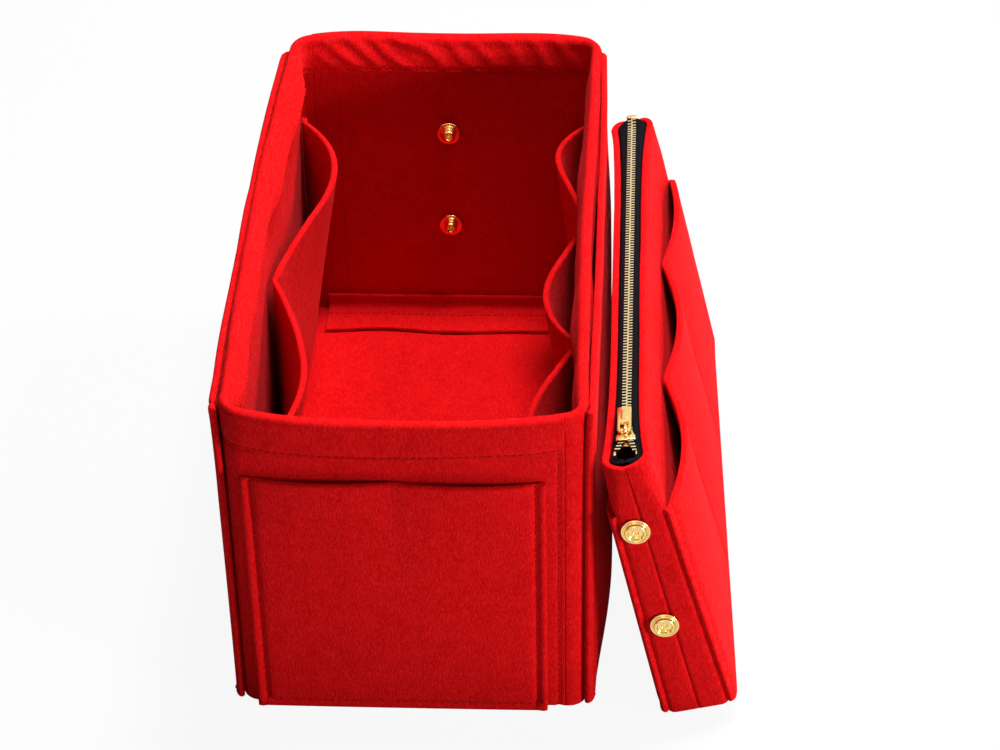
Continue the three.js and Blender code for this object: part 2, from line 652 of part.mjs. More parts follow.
function slider() {
  const bottomReach = ROW_REACH + SLIDER_CLEARANCE;
  const plateUnder = CHAIN_HEIGHT + PLATE_GAP;
  const top = extrude(sliderPlan(SLIDER_LIP), SLIDER_PLATE).translate(0, 0, plateUnder);
  const lips = [-1, 1].map((side) => sliderLip(side).translate(0, 0, plateUnder - SLIDER_LIP_DEPTH));
  const bottom = roundedPlate(2 * bottomReach, SLIDER_LENGTH, SLIDER_BOTTOM_CORNER, SLIDER_PLATE);
  bottom.translate(0, 0, CHAIN_HEIGHT - PLATE_GAP - SLIDER_PLATE);
  const post = rod(SLIDER_POST_RADIUS, 2 * PLATE_GAP + SLIDER_PLATE).rotateX(Math.PI / 2);
  post.translate(0, -SLIDER_LENGTH / 2 + SLIDER_POST_FROM_FRONT, CHAIN_HEIGHT);
  return piece('zip_slider', fuse([top, ...lips, bottom, post, bail()]), GOLD);
}

/** The arch on the slider's back that carries the pull tab. */
function bail() {
  const [half, sunk] = [BAIL_WINDOW_LENGTH / 2, SLIDER_PLATE / 2];
  const arch = new THREE.Shape();
  const crown = BAIL_WINDOW_HEIGHT + BAIL_WIRE;
  arch.moveTo(-half - BAIL_WIRE, -sunk);
  arch.lineTo(-half - BAIL_WIRE, crown - 2 * BAIL_WIRE);
  arch.quadraticCurveTo(-half - BAIL_WIRE, crown, -half + BAIL_WIRE, crown);
  arch.lineTo(half - BAIL_WIRE, crown);
  arch.quadraticCurveTo(half + BAIL_WIRE, crown, half + BAIL_WIRE, crown - 2 * BAIL_WIRE);
  arch.lineTo(half + BAIL_WIRE, -sunk);
  arch.lineTo(half, -sunk);
  arch.lineTo(half, BAIL_WINDOW_HEIGHT);
  arch.lineTo(-half, BAIL_WINDOW_HEIGHT);
  arch.lineTo(-half, -sunk);
  const wire = extrude(arch, BAIL_WIDTH).translate(0, 0, -BAIL_WIDTH / 2);
  wire.rotateX(Math.PI / 2).rotateZ(Math.PI / 2);
  return wire.translate(0, 0, SLIDER_TOP);
}

/** The pull tab. Its window's end bar lies under the bail, and the tab lies back along the closed chain. */
function pullTab() {
  const bar = TAB_THICKNESS / 2;
  const end = TAB_LENGTH;
  const half = TAB_WIDTH / 2;
  const shape = new THREE.Shape();
  shape.moveTo(-half, -bar);
  shape.lineTo(half, -bar);
  shape.lineTo(half, end - TAB_CORNER);
  shape.quadraticCurveTo(half, end, half - TAB_CORNER, end);
  shape.lineTo(TAB_CORNER - half, end);
  shape.quadraticCurveTo(-half, end, -half, end - TAB_CORNER);
  const window = new THREE.Path();
  const inside = half - TAB_RAIL;
  window.moveTo(-inside, bar);
  window.lineTo(-inside, bar + TAB_WINDOW_LENGTH);
  window.lineTo(inside, bar + TAB_WINDOW_LENGTH);
  window.lineTo(inside, bar);
  shape.holes.push(window);
  const tab = extrude(shape, TAB_THICKNESS).translate(0, 0, TAB_AXIS_HEIGHT - TAB_THICKNESS / 2);
  return piece('pull_tab', tab, GOLD);
}

function pouch() {
  const group = new THREE.Group();
  group.add(pouchShell('pouch_left_shell', -1), pouchShell('pouch_right_shell', 1), pouchBottom());
  group.add(pouchPocket('pouch_left_pocket', -1, 0), pouchPocket('pouch_right_pocket', 1, POUCH_BAY_BULGE));
  for (const [endName, end] of [['pouch_near', -1], ['pouch_far', 1]]) {
    for (const [level, height] of Object.entries(SOCKET_HEIGHTS)) {
      group.add(pouchSocket(endName, end, level, height));
    }
  }
  for (const [sideName, side] of [['left', -1], ['right', 1]]) {
    group.add(zipTape(`${sideName}_zip_tape`, side), toothRow(`${sideName}_tooth_row`, side));
    group.add(topStop(`${sideName}_top_stop`, side));
  }
  group.add(bottomStop());
  const runner = new THREE.Group();
  runner.position.y = SLIDER_MIDDLE;
  runner.add(slider(), pullTab());
  group.add(runner);
  return group;
}

/** Stands the pouch on its lower left edge and leans its top against the tub's right outer pocket. */
function leaningPouch() {
  const lean = THREE.MathUtils.degToRad(POUCH_LEAN);
  const pocket = SEWN_GAP + FELT;
  const foot = POUCH_BASE_WIDTH / 2 + pocket;
  const reachAt = (inwards, z) => z * Math.sin(lean) - inwards * Math.cos(lean);
  const topEdge = reachAt(foot - pouchHalfWidth(POUCH_LENGTH / 2, POUCH_HEIGHT), POUCH_HEIGHT);
  const pocketLip = pouchHalfWidth(POUCH_LENGTH / 2, POUCH_POCKET_HEIGHT) + pocket;
  const lipEdge = reachAt(foot - pocketLip, POUCH_POCKET_HEIGHT);
  const tubFace = OUTER_POCKET_FACE + FELT;
  const tilted = new THREE.Group();
  tilted.position.x = tubFace + SEWN_GAP + Math.max(topEdge, lipEdge);
  tilted.position.y = -TUB_LENGTH / 2 - POUCH_FORWARD + POUCH_LENGTH / 2;
  tilted.rotation.y = -lean;
  const body = pouch();
  body.position.x = foot;
  tilted.add(body);
  return tilted;
}

const organizer = new THREE.Group();
organizer.add(tub(), leaningPouch());

export default organizer;
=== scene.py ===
"""Dresses the felt purse organizer: an open tub with slip pockets, and the zip pouch that leans beside it.

Metres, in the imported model's frame. Every felt panel is a closed sheet on the rule that its solid follows.
"""

import json
import math

import bmesh
import bpy
import numpy as np
from bpy.props import FloatProperty, FloatVectorProperty, IntProperty, PointerProperty
from mathutils import Matrix, Vector


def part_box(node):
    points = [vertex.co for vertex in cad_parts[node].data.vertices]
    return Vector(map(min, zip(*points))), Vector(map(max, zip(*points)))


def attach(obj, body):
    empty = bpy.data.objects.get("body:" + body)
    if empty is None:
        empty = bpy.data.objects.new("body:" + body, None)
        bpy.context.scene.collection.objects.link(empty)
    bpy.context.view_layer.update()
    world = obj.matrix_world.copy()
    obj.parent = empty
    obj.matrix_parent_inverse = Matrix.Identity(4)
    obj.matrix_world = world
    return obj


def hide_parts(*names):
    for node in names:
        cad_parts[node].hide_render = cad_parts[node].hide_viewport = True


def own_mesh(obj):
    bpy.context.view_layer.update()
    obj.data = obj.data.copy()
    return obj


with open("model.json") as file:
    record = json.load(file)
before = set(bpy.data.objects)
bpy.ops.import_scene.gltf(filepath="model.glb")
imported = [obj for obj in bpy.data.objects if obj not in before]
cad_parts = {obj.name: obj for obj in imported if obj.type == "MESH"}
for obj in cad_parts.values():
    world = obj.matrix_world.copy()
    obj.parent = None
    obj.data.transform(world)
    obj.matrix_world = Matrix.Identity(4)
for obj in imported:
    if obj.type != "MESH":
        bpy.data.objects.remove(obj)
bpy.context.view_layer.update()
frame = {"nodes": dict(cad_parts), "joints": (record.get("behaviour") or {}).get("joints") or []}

bl_info = {
    "name": "Felt purse organizer",
    "version": (1, 0, 0),
    "blender": (4, 5, 0),
    "location": "View3D > Sidebar > Organizer",
    "description": "Felt tub with slip pockets, and its zip pouch",
    "category": "Object",
}

MM = 0.001

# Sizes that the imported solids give


def low(node_name):
    """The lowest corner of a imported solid."""
    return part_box(node_name)[0]


def high(node_name):
    """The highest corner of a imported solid."""
    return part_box(node_name)[1]


FELT = high("bottom_panel")[2] - low("bottom_panel")[2]
TUB_WIDTH = 2 * high("right_side_wall")[0]
GAP = TUB_WIDTH / 2 - FELT - high("bottom_panel")[0]
TUB_LENGTH = 2 * (high("bottom_panel")[1] + FELT + GAP)
TUB_HEIGHT = high("near_rim_binding")[2]
STRIP = low("right_outer_pocket")[0] - TUB_WIDTH / 2 - 2 * GAP
BAND = TUB_HEIGHT - low("near_rim_binding")[2]
END_POCKET_RISE = 4.5 * MM
END_POCKET_TOP = high("near_end_pocket")[2] + END_POCKET_RISE

TAB_HINGE = next(j for j in frame["joints"] if j["name"] == "pull_tab_flip")
ACROSS = Vector(TAB_HINGE["axis"]).normalized()
ALONG = Vector((0, 1, 0))
UPWARD = ACROSS.cross(ALONG)
POUCH_TURN = Matrix((ACROSS, ALONG, UPWARD)).transposed()


def pouch_box(node_name):
    """A solid's lowest and highest corner, measured along the leaning pouch's own axes."""
    points = np.array([v.co for v in frame["nodes"][node_name].data.vertices]) @ np.array(POUCH_TURN)
    return points.min(0), points.max(0)


POUCH_FLOOR = pouch_box("pouch_bottom")
POUCH_SHELL = pouch_box("pouch_right_shell")
POUCH_MIDDLE = (POUCH_FLOOR[0] + POUCH_FLOOR[1]) / 2
POUCH_ORIGIN = POUCH_TURN @ Vector((POUCH_MIDDLE[0], POUCH_MIDDLE[1], POUCH_FLOOR[0][2]))
POUCH_PLACE = Matrix.Translation(POUCH_ORIGIN) @ POUCH_TURN.to_4x4()
TAB_AXIS = POUCH_PLACE.inverted() @ Vector(TAB_HINGE["pos_m"])

# Properties


def size(name, description, default):
    """A length that a user may change."""
    return FloatProperty(name=name, description=description, default=default, unit="LENGTH", precision=5)


def colour(name, description, default):
    """A finish's colour that a user may change."""
    return FloatVectorProperty(
        name=name, description=description, default=default, subtype="COLOR", size=3, min=0, max=1
    )


class OrganizerTub(bpy.types.PropertyGroup):
    """Sizes of the tub and its pockets"""

    width: size("Width", "Over the side walls", TUB_WIDTH)
    length: size("Length", "Over the end walls, at the bottom", TUB_LENGTH)
    height: size("Height", "To the top of the rim", TUB_HEIGHT)
    felt: size("Felt", "Thickness of the panels", FELT)
    strip: size("Rim strip", "Thickness of the strip over the rim", STRIP)
    gap: size("Sewn gap", "Between two layers", GAP)
    band: size("Band", "Depth of the rim strip on each face", BAND)
    corner: size("Corner", "Outer radius in plan", 7.9 * MM)
    seam_return: size("Seam return", "Straight felt between a corner and its seam", 1.5 * MM)
    bow: size("Bow", "How far the middle of an end's rim stands out", 9 * MM)
    end_pocket: size("End pocket", "Height of the pockets on the ends", END_POCKET_TOP)
    gape: size("Gape", "How far an end pocket's mouth stands open", 3.0 * MM)
    inner_pocket: size("Inner pocket", "Height of the inner pockets", high("left_inner_pocket")[2])
    left_bulge: size("Left bulge", "How far a bay of the left inner pocket stands off", 20 * MM)
    right_bulge: size("Right bulge", "How far a bay of the right inner pocket stands off", 15.2 * MM)
    left_bays: IntProperty(name="Left bays", description="Bays of the left inner pocket", default=2)
    right_bays: IntProperty(name="Right bays", description="Bays of the right inner pocket", default=3)
    sway: size("Sway", "How unevenly the soft panels stand", 0.7 * MM)


class OrganizerPouch(bpy.types.PropertyGroup):
    """Sizes of the pouch and its zip"""

    length: size("Length", "Over the ends", POUCH_SHELL[1][1] - POUCH_SHELL[0][1])
    height: size("Height", "To the top of the shells", POUCH_SHELL[1][2] - POUCH_SHELL[0][2])
    base_width: size("Base width", "Over the shells, at the bottom", 28 * MM)
    end_top_width: size("End top width", "Over the shells, at the zip's ends", 20.4 * MM)
    mouth: size("Mouth", "Between the shells, at the middle of the zip", 9.6 * MM)
    corner: size("Corner", "Outer radius in plan", 4.2 * MM)
    pocket: size("Pocket", "Height of the pockets", 110 * MM)
    bulge: size("Bulge", "How far a bay of the right pocket stands off", 7 * MM)
    bays: IntProperty(name="Bays", description="Bays of the right pocket", default=3)
    chain_height: size("Chain height", "Middle of the zip's teeth", 134.2 * MM)
    chain_near: size("Chain near end", "Where the teeth start", -125.5 * MM)
    chain_far: size("Chain far end", "Where the teeth end", 129.5 * MM)
    slider_middle: size("Slider", "Where the slider stands", -115 * MM)
    spread: size("Spread", "How far each tooth row parts before the slider", 3.1 * MM)
    tooth_pitch: size("Tooth pitch", "From tooth to tooth in a row", 2.05 * MM)
    tape: size("Tape", "Thickness of the zip tape", 0.7 * MM)


class OrganizerSewing(bpy.types.PropertyGroup):
    """Sizes of the stitches"""

    pitch: size("Pitch", "From stitch to stitch", 3.1 * MM)
    length: size("Length", "Of one stitch", 2.5 * MM)
    width: size("Width", "Of the thread", 0.62 * MM)
    seed: IntProperty(name="Seed", description="Of the stitches' small differences", default=7)


class OrganizerFinish(bpy.types.PropertyGroup):
    """Colours of the finishes"""

    felt: colour("Felt", "Main red of the felt", (0.40, 0.0003, 0.0006))
    felt_light: colour("Felt fibres", "Lighter red of the loose fibres", (0.66, 0.006, 0.008))
    fleck: colour("Felt flecks", "Paler red of single fibres", (0.60, 0.022, 0.025))
    # Darker than the felt: painted shade of the stitch holes.
    thread: colour("Thread", "Sewing thread", (0.20, 0.0004, 0.0006))
    tape: colour("Tape", "Zip tape", (0.0018, 0.0018, 0.0026))
    gold: colour("Gold", "Gold plate", (0.92, 0.66, 0.25))
    # The teeth are the same gold as the other pieces. Their paler colour is a painted highlight.
    teeth: colour("Teeth", "Paler gold of the zip's teeth", (1.0, 0.84, 0.48))
    floor: colour("Floor", "Studio floor", (0.45, 0.45, 0.45))


# Node trees


def feed(tree, made, inputs):
    """Sets a node's inputs. Each is a number or a colour, or the socket that feeds it."""
    for key, value in inputs.items():
        if isinstance(value, bpy.types.NodeSocket):
            tree.links.new(value, made.inputs[key])
        else:
            made.inputs[key].default_value = value


def node(tree, kind, inputs=None, **settings):
    """Adds a node with its settings and inputs."""
    made = tree.nodes.new(kind)
    for key, value in settings.items():
        setattr(made, key, value)
    feed(tree, made, inputs or {})
    return made


def result(tree, kind, inputs=None, **settings):
    """The first output of an added node."""
    return node(tree, kind, inputs, **settings).outputs[0]


def math_of(tree, operation, *values):
    """A Math node of that operation on the values."""
    return result(tree, "ShaderNodeMath", dict(enumerate(values)), operation=operation)


def times(tree, first, *others):
    """The values multiplied in turn."""
    for other in others:
        first = math_of(tree, "MULTIPLY", first, other)
    return first


def plus(tree, first, *others):
    """The values added in turn."""
    for other in others:
        first = math_of(tree, "ADD", first, other)
    return first


def clamped(tree, value):
    """The value, held between 0 and 1."""
    return math_of(tree, "MINIMUM", math_of(tree, "MAXIMUM", value, 0.0), 1.0)


def position(tree):
    """The x, y and z of the point that a geometry tree is at."""
    return node(tree, "ShaderNodeSeparateXYZ", {0: result(tree, "GeometryNodeInputPosition")}).outputs


def new_tree(name, sockets):
    """A geometry tree with those named inputs, and their outputs in it."""
    tree = bpy.data.node_groups.new(name, "GeometryNodeTree")
    tree.is_modifier = True
    for label, kind in sockets:
        tree.interface.new_socket(label, in_out="INPUT", socket_type=f"NodeSocket{kind}")
    tree.interface.new_socket("Piece", in_out="OUTPUT", socket_type="NodeSocketGeometry")
    return tree, tree.nodes.new("NodeGroupInput").outputs


def end_tree(tree, geometry, finish, smooth=False):
    """Ends a geometry tree in plain geometry with its finish."""
    plain = result(tree, "GeometryNodeRealizeInstances", {0: geometry})
    if smooth:
        plain = result(tree, "GeometryNodeSetShadeSmooth", {0: plain})
    done = result(tree, "GeometryNodeSetMaterial", {"Geometry": plain, "Material": finish})
    tree.links.new(done, tree.nodes.new("NodeGroupOutput").inputs[0])
    return tree


def bare_nodes(owner):
    """The emptied node tree of a material or a world."""
    owner.use_nodes = True
    owner.node_tree.nodes.clear()
    return owner.node_tree


def plain_material(name):
    """A material with only its output and a Principled shader, and a point on the piece."""
    material = bpy.data.materials.get(name)
    if material:
        return material, None, None, None
    material = bpy.data.materials.new(name)
    tree = bare_nodes(material)
    shader = tree.nodes.new("ShaderNodeBsdfPrincipled")
    out = tree.nodes.new("ShaderNodeOutputMaterial")
    tree.links.new(shader.outputs[0], out.inputs[0])
    point = tree.nodes.new("ShaderNodeTexCoord").outputs["Object"]
    return material, tree, shader, point


def noise(tree, point, scale, detail=3.0, rough=0.55):
    """Cloudy noise at a point."""
    inputs = {"Vector": point, "Scale": scale, "Detail": detail, "Roughness": rough}
    return result(tree, "ShaderNodeTexNoise", inputs)


def ramp(tree, value, from_low, from_high, to_low=0.0, to_high=1.0):
    """The value, stretched from one span to another and held there."""
    return result(tree, "ShaderNodeMapRange", {0: value, 1: from_low, 2: from_high, 3: to_low, 4: to_high})


def mapped(tree, point, **inputs):
    """The point, turned and scaled by a Mapping node."""
    return result(tree, "ShaderNodeMapping", {"Vector": point, **inputs})


def opaque(value):
    """A colour with its alpha, or the socket that gives one."""
    return value if isinstance(value, bpy.types.NodeSocket) else (*value[:3], 1)


def mix_colours(tree, factor, first, second):
    """The first colour, mixed with the second by a factor."""
    made = node(tree, "ShaderNodeMix", data_type="RGBA", blend_type="MIX")
    feed(tree, made, {0: factor, 6: opaque(first), 7: opaque(second)})
    return made.outputs[2]


def toned(tint, by):
    """A colour, lighter or darker by a factor."""
    return tuple(by * part for part in tint)


def bumps(tree, height, strength, depth):
    """A surface's normals over bumps of that depth."""
    return result(tree, "ShaderNodeBump", {"Strength": strength, "Distance": depth, "Height": height})


FIBRE_TURNS = ((0.4, 0.2, 0.7), (1.3, 0.9, 2.1), (2.2, 1.7, 0.2))
FIBRE_SCALE = (2600, 420, 420)
FIBRE_EDGES = (0.56, 0.72)
FIBRE_LIGHT, FIBRE_FLECK, FIBRE_PILE = 0.4, 0.3, 0.35
FELT_GRAIN, GRAIN_LIGHT, GRAIN_PILE = 1100, (0.36, 0.66, 0.0, 0.3), 0.7
FELT_MOTTLE, MOTTLE_LIGHT, MOTTLE_PILE = 170, (0.34, 0.68, 0.0, 0.26), 0.5
FELT_TONE, TONE_LIGHT = 22, (0.3, 0.7, 0.0, 0.1)
FELT_PILE = 0.6 * MM
FELT_SHEEN = (1.0, 0.14, 0.16, 1)
THREAD_TWIST, THREAD_EDGES = 2400, (0.35, 0.65)
THREAD_PALER = 1.6
THREAD_RELIEF = 0.2 * MM
TWILL_RIBS = 420
TWILL_PALER = 3.2
TWILL_ANGLE = math.radians(40)
TWILL_RELIEF = 0.2 * MM
GOLD_SMEAR, SMEAR_EDGES = 260, (0.3, 0.7)
SMEAR_DARKER = 0.86
GOLD_ROUGHNESS = (0.13, 0.26)
SCRATCH_TURN = (0.3, 0.5, 0.8)
SCRATCH_SCALE = (300, 5200, 5200)
SCRATCH_DEPTH = 0.1 * MM


def red_felt(finish):
    """Pressed felt: a short fuzz, loose fibres that run all ways, and slow changes of tone."""
    material, tree, shader, point = plain_material("red_felt_fuzz")
    if tree is None:
        return material
    fibres = None
    for turn in FIBRE_TURNS:
        turned = mapped(tree, point, Rotation=turn, Scale=FIBRE_SCALE)
        strand = ramp(tree, noise(tree, turned, 1.0, 1.5), *FIBRE_EDGES)
        fibres = strand if fibres is None else math_of(tree, "MAXIMUM", fibres, strand)
    grain = noise(tree, point, FELT_GRAIN, 4.0, 0.62)
    mottle = noise(tree, point, FELT_MOTTLE, 4.0, 0.6)
    tone = noise(tree, point, FELT_TONE, 2.0)
    light = plus(
        tree,
        ramp(tree, mottle, *MOTTLE_LIGHT),
        ramp(tree, tone, *TONE_LIGHT),
        ramp(tree, grain, *GRAIN_LIGHT),
        times(tree, fibres, FIBRE_LIGHT),
    )
    red = mix_colours(tree, ramp(tree, light, 0.0, 1.0), finish.felt, finish.felt_light)
    red = mix_colours(tree, times(tree, fibres, FIBRE_FLECK), red, finish.fleck)
    pile = plus(
        tree,
        times(tree, grain, GRAIN_PILE),
        times(tree, fibres, FIBRE_PILE),
        times(tree, mottle, MOTTLE_PILE),
    )
    look = {
        "Base Color": red,
        "Normal": bumps(tree, pile, 0.55, FELT_PILE),
        "Roughness": 0.95,
        "Specular IOR Level": 0.03,
        "Sheen Weight": 0.06,
        "Sheen Roughness": 0.35,
        "Sheen Tint": FELT_SHEEN,
    }
    feed(tree, shader, look)
    return material


def red_thread(finish):
    """Twisted sewing thread, a little smoother than the felt. Its darker red is painted shade, for the
    shadow in and round the stitch holes.
    """
    material, tree, shader, point = plain_material("red_thread")
    if tree is None:
        return material
    strand = noise(tree, point, THREAD_TWIST, 2.0)
    paler = toned(finish.thread, THREAD_PALER)
    look = {
        "Base Color": mix_colours(tree, ramp(tree, strand, *THREAD_EDGES), finish.thread, paler),
        "Normal": bumps(tree, strand, 0.4, THREAD_RELIEF),
        "Roughness": 0.85,
        "Specular IOR Level": 0.1,
    }
    feed(tree, shader, look)
    return material


def black_tape(finish):
    """Woven zip tape: a fine diagonal twill over a dark ground."""
    material, tree, shader, point = plain_material("black_twill_tape")
    if tree is None:
        return material
    lean = math.atan2(ACROSS.z, ACROSS.x)
    upright = mapped(tree, point, Rotation=(0, lean, TWILL_ANGLE))
    weave = {"Vector": upright, "Scale": TWILL_RIBS, "Distortion": 0.6, "Detail": 1.0}
    rib = node(tree, "ShaderNodeTexWave", weave).outputs[1]
    look = {
        "Base Color": mix_colours(tree, rib, finish.tape, toned(finish.tape, TWILL_PALER)),
        "Normal": bumps(tree, rib, 0.5, TWILL_RELIEF),
        "Roughness": 0.75,
        "Specular IOR Level": 0.02,
    }
    feed(tree, shader, look)
    return material


def gold_plate(finish, name="polished_gold_plate", tint=None):
    """Polished plate with faint smears and fine scratches."""
    material, tree, shader, point = plain_material(name)
    if tree is None:
        return material
    tint = tint or finish.gold
    smear = noise(tree, point, GOLD_SMEAR, 4.0)
    scratch = noise(tree, mapped(tree, point, Rotation=SCRATCH_TURN, Scale=SCRATCH_SCALE), 1.0, 2.0)
    look = {
        "Base Color": mix_colours(tree, ramp(tree, smear, *SMEAR_EDGES), tint, toned(tint, SMEAR_DARKER)),
        "Roughness": ramp(tree, smear, *SMEAR_EDGES, *GOLD_ROUGHNESS),
        "Normal": bumps(tree, scratch, 0.06, SCRATCH_DEPTH),
        "Metallic": 1.0,
    }
    feed(tree, shader, look)
    return material


# Meshes

NOISE_CELLS = 64


def capped(value):
    """The value, held between 0 and 1."""
    return np.clip(value, 0, 1)


def smooth_step(part):
    """A part between 0 and 1 that starts and ends gently."""
    return part * part * (3 - 2 * part)


def soft_noise(u, v, spacing, seed):
    """Smooth noise between -1 and 1, whose bumps are about a spacing apart."""
    draws = np.random.default_rng(seed).uniform(-1, 1, (NOISE_CELLS, NOISE_CELLS))
    u, v = np.broadcast_arrays(u / spacing, v / spacing)
    i, j = np.floor(u).astype(int), np.floor(v).astype(int)
    a, b = smooth_step(u - i), smooth_step(v - j)
    i, j, i_next, j_next = (cell % NOISE_CELLS for cell in (i, j, i + 1, j + 1))
    first = draws[i, j] * (1 - a) + draws[i_next, j] * a
    second = draws[i, j_next] * (1 - a) + draws[i_next, j_next] * a
    return first * (1 - b) + second * b


def bump_at(distance, reach):
    """1 at no distance, and down to nothing past the reach."""
    return np.exp(-((distance / reach) ** 2))


EDGE_STEPS = (0.04, 0.16, 0.36, 0.64, 1.0)
EDGE_REACH = 1.2 * MM
FINE_STEPS = (-2.0, -1.2, -0.6, 0.0, 0.6, 1.2, 2.0)
CLOSEST = 0.04 * MM


def places(start, end, step, finer=()):
    """Places from start to end, about a step apart, closer at both edges and round the finer ones."""
    found = list(np.linspace(start, end, max(2, round((end - start) / step)) + 1))
    for part in EDGE_STEPS:
        found += [start + part * EDGE_REACH, end - part * EDGE_REACH]
    for middle in finer:
        found += [middle + way * MM for way in FINE_STEPS]
    kept = []
    for place in sorted(found):
        if start <= place <= end and (not kept or place - kept[-1] > CLOSEST):
            kept.append(place)
    kept[-1] = end
    return np.array(kept)


NO_LENGTH = 1e-12


def unit(vectors):
    """The vectors, each at a length of 1."""
    return vectors / np.maximum(np.linalg.norm(vectors, axis=-1, keepdims=True), NO_LENGTH)


THINNEST = 0.12 * MM
SOFT_EDGES = (0.4, 0.4, 0.4, 0.4)


def worn_away(distance, radius):
    """How much an edge rounded to that radius takes off the face at a distance from it."""
    inset = np.clip(radius - distance, 0, radius)
    return radius - np.sqrt(np.maximum(radius**2 - inset**2, 0))


class Felt:
    """A felt sheet: its measures, its two faces, and the way its front looks.

    Slim says how far each face is drawn in, and rounding how far each edge is rounded,
    as a part of the thickness.
    """

    def __init__(self, u, v, place, thickness, facing, slim=0.0, rounding=SOFT_EDGES):
        self.u, self.v = u, v
        across, along = np.meshgrid(u, v, indexing="ij")
        self.middle = np.stack(np.broadcast_arrays(*place(across, along)), -1).astype(float)
        crossed = np.cross(np.gradient(self.middle, axis=0), np.gradient(self.middle, axis=1))
        self.normal = facing * unit(crossed)
        ways = (across - u[0], u[-1] - across, along - v[0], v[-1] - along)
        worn = np.maximum.reduce([worn_away(way, part * thickness) for way, part in zip(ways, rounding)])
        half = np.maximum(thickness / 2 - worn - slim, THINNEST)[..., None]
        self.front = self.middle + self.normal * half
        self.back = self.middle - self.normal * half

    def faces(self):
        """The points and quads of the closed sheet."""
        rows, columns = self.front.shape[:2]
        count = rows * columns
        points = np.concatenate([self.front.reshape(-1, 3), self.back.reshape(-1, 3)])
        index = np.arange(count).reshape(rows, columns)
        corners = [index[:-1, :-1], index[1:, :-1], index[1:, 1:], index[:-1, 1:]]
        quads = np.stack(corners, -1).reshape(-1, 4)
        rim = np.concatenate([index[:, 0], index[-1, 1:], index[-2::-1, -1], index[0, -2:0:-1]])
        after = np.roll(rim, -1)
        sides = np.stack([after, rim, rim + count, after + count], -1)
        return points, np.concatenate([quads, quads[:, ::-1] + count, sides])

    def run(self, u, v, back=False):
        """Points along a line on one face, with the way that the face looks there."""
        u, v = np.broadcast_arrays(np.asarray(u, float), np.asarray(v, float))
        i = np.clip(np.searchsorted(self.u, u) - 1, 0, len(self.u) - 2)
        j = np.clip(np.searchsorted(self.v, v) - 1, 0, len(self.v) - 2)
        a = ((u - self.u[i]) / (self.u[i + 1] - self.u[i]))[:, None]
        b = ((v - self.v[j]) / (self.v[j + 1] - self.v[j]))[:, None]

        def between(grid):
            first = grid[i, j] * (1 - a) + grid[i + 1, j] * a
            second = grid[i, j + 1] * (1 - a) + grid[i + 1, j + 1] * a
            return first * (1 - b) + second * b

        return between(self.back if back else self.front), between(-self.normal if back else self.normal)

    def flat_size(self):
        """Width, length and area of the sheet as it was cut, measured along its middle."""
        width = np.linalg.norm(np.diff(self.middle, axis=0), axis=-1).sum(0).max()
        length = np.linalg.norm(np.diff(self.middle, axis=1), axis=-1).sum(1).max()
        one = np.diff(self.middle, axis=0)[:, :-1]
        two = np.diff(self.middle, axis=1)[:-1]
        area = np.linalg.norm(np.cross(one, two), axis=-1).sum()
        return (float(width), float(length)), float(min(area, width * length))


def signed_volume(points, faces):
    """The volume that the faces close, below zero where they look inwards."""
    corners = np.array([(f[0], f[k], f[k + 1]) for f in faces for k in range(1, len(f) - 1)])
    a, b, c = (points[corners[:, k]] for k in range(3))
    return float((a * np.cross(b, c)).sum())


def linked(name, data):
    """A new object in the scene: a mesh, a camera or a light."""
    made = bpy.data.objects.new(name, data)
    bpy.context.scene.collection.objects.link(made)
    return made


def new_object(name, points, faces, material):
    """A smooth mesh object at the origin, with its faces turned outwards."""
    faces = [list(map(int, face)) for face in faces]
    points = np.asarray(points, float)
    if signed_volume(points - points.mean(0), faces) < 0:
        faces = [face[::-1] for face in faces]
    mesh = bpy.data.meshes.new(name)
    mesh.from_pydata(points.tolist(), [], faces)
    mesh.update()
    mesh.shade_smooth()
    mesh.materials.append(material)
    return linked(name, mesh)


def turned_piece(name, profile, place, material, sides=48):
    """A piece turned on a lathe round +Y, from (radius, height) pairs, then put in its place.

    The profile starts and ends on the axis.
    """
    points, rings = [], []
    for radius, height in profile:
        count = sides if radius > 0 else 1
        rings.append(range(len(points), len(points) + count))
        for k in range(count):
            angle = 2 * math.pi * k / sides
            points.append((radius * math.cos(angle), height, radius * math.sin(angle)))
    faces = []
    for first, second in zip(rings, rings[1:]):
        for k in range(sides):
            after = (k + 1) % sides
            if len(first) == 1:
                faces.append((first[0], second[after], second[k]))
            elif len(second) == 1:
                faces.append((first[k], first[after], second[0]))
            else:
                faces.append((first[k], first[after], second[after], second[k]))
    placed = [place @ Vector(p) for p in points]
    return new_object(name, placed, faces, material)


FILLET_SHARE = 0.45
FLAT_ANGLE = 0.01
SHARP_ANGLE = 0.6
PLATE_SMOOTH = 38


def filleted(profile, radius, steps=4):
    """The profile with its corners rounded."""
    points = [Vector(p) for p in profile]
    rounded = [tuple(points[0])]
    for before, here, after in zip(points, points[1:], points[2:]):
        reach = min(radius, FILLET_SHARE * (before - here).length, FILLET_SHARE * (after - here).length)
        start = here + (before - here).normalized() * reach
        end = here + (after - here).normalized() * reach
        for k in range(steps + 1):
            t = k / steps
            rounded.append(tuple((1 - t) ** 2 * start + 2 * t * (1 - t) * here + t**2 * end))
    return rounded + [tuple(points[-1])]


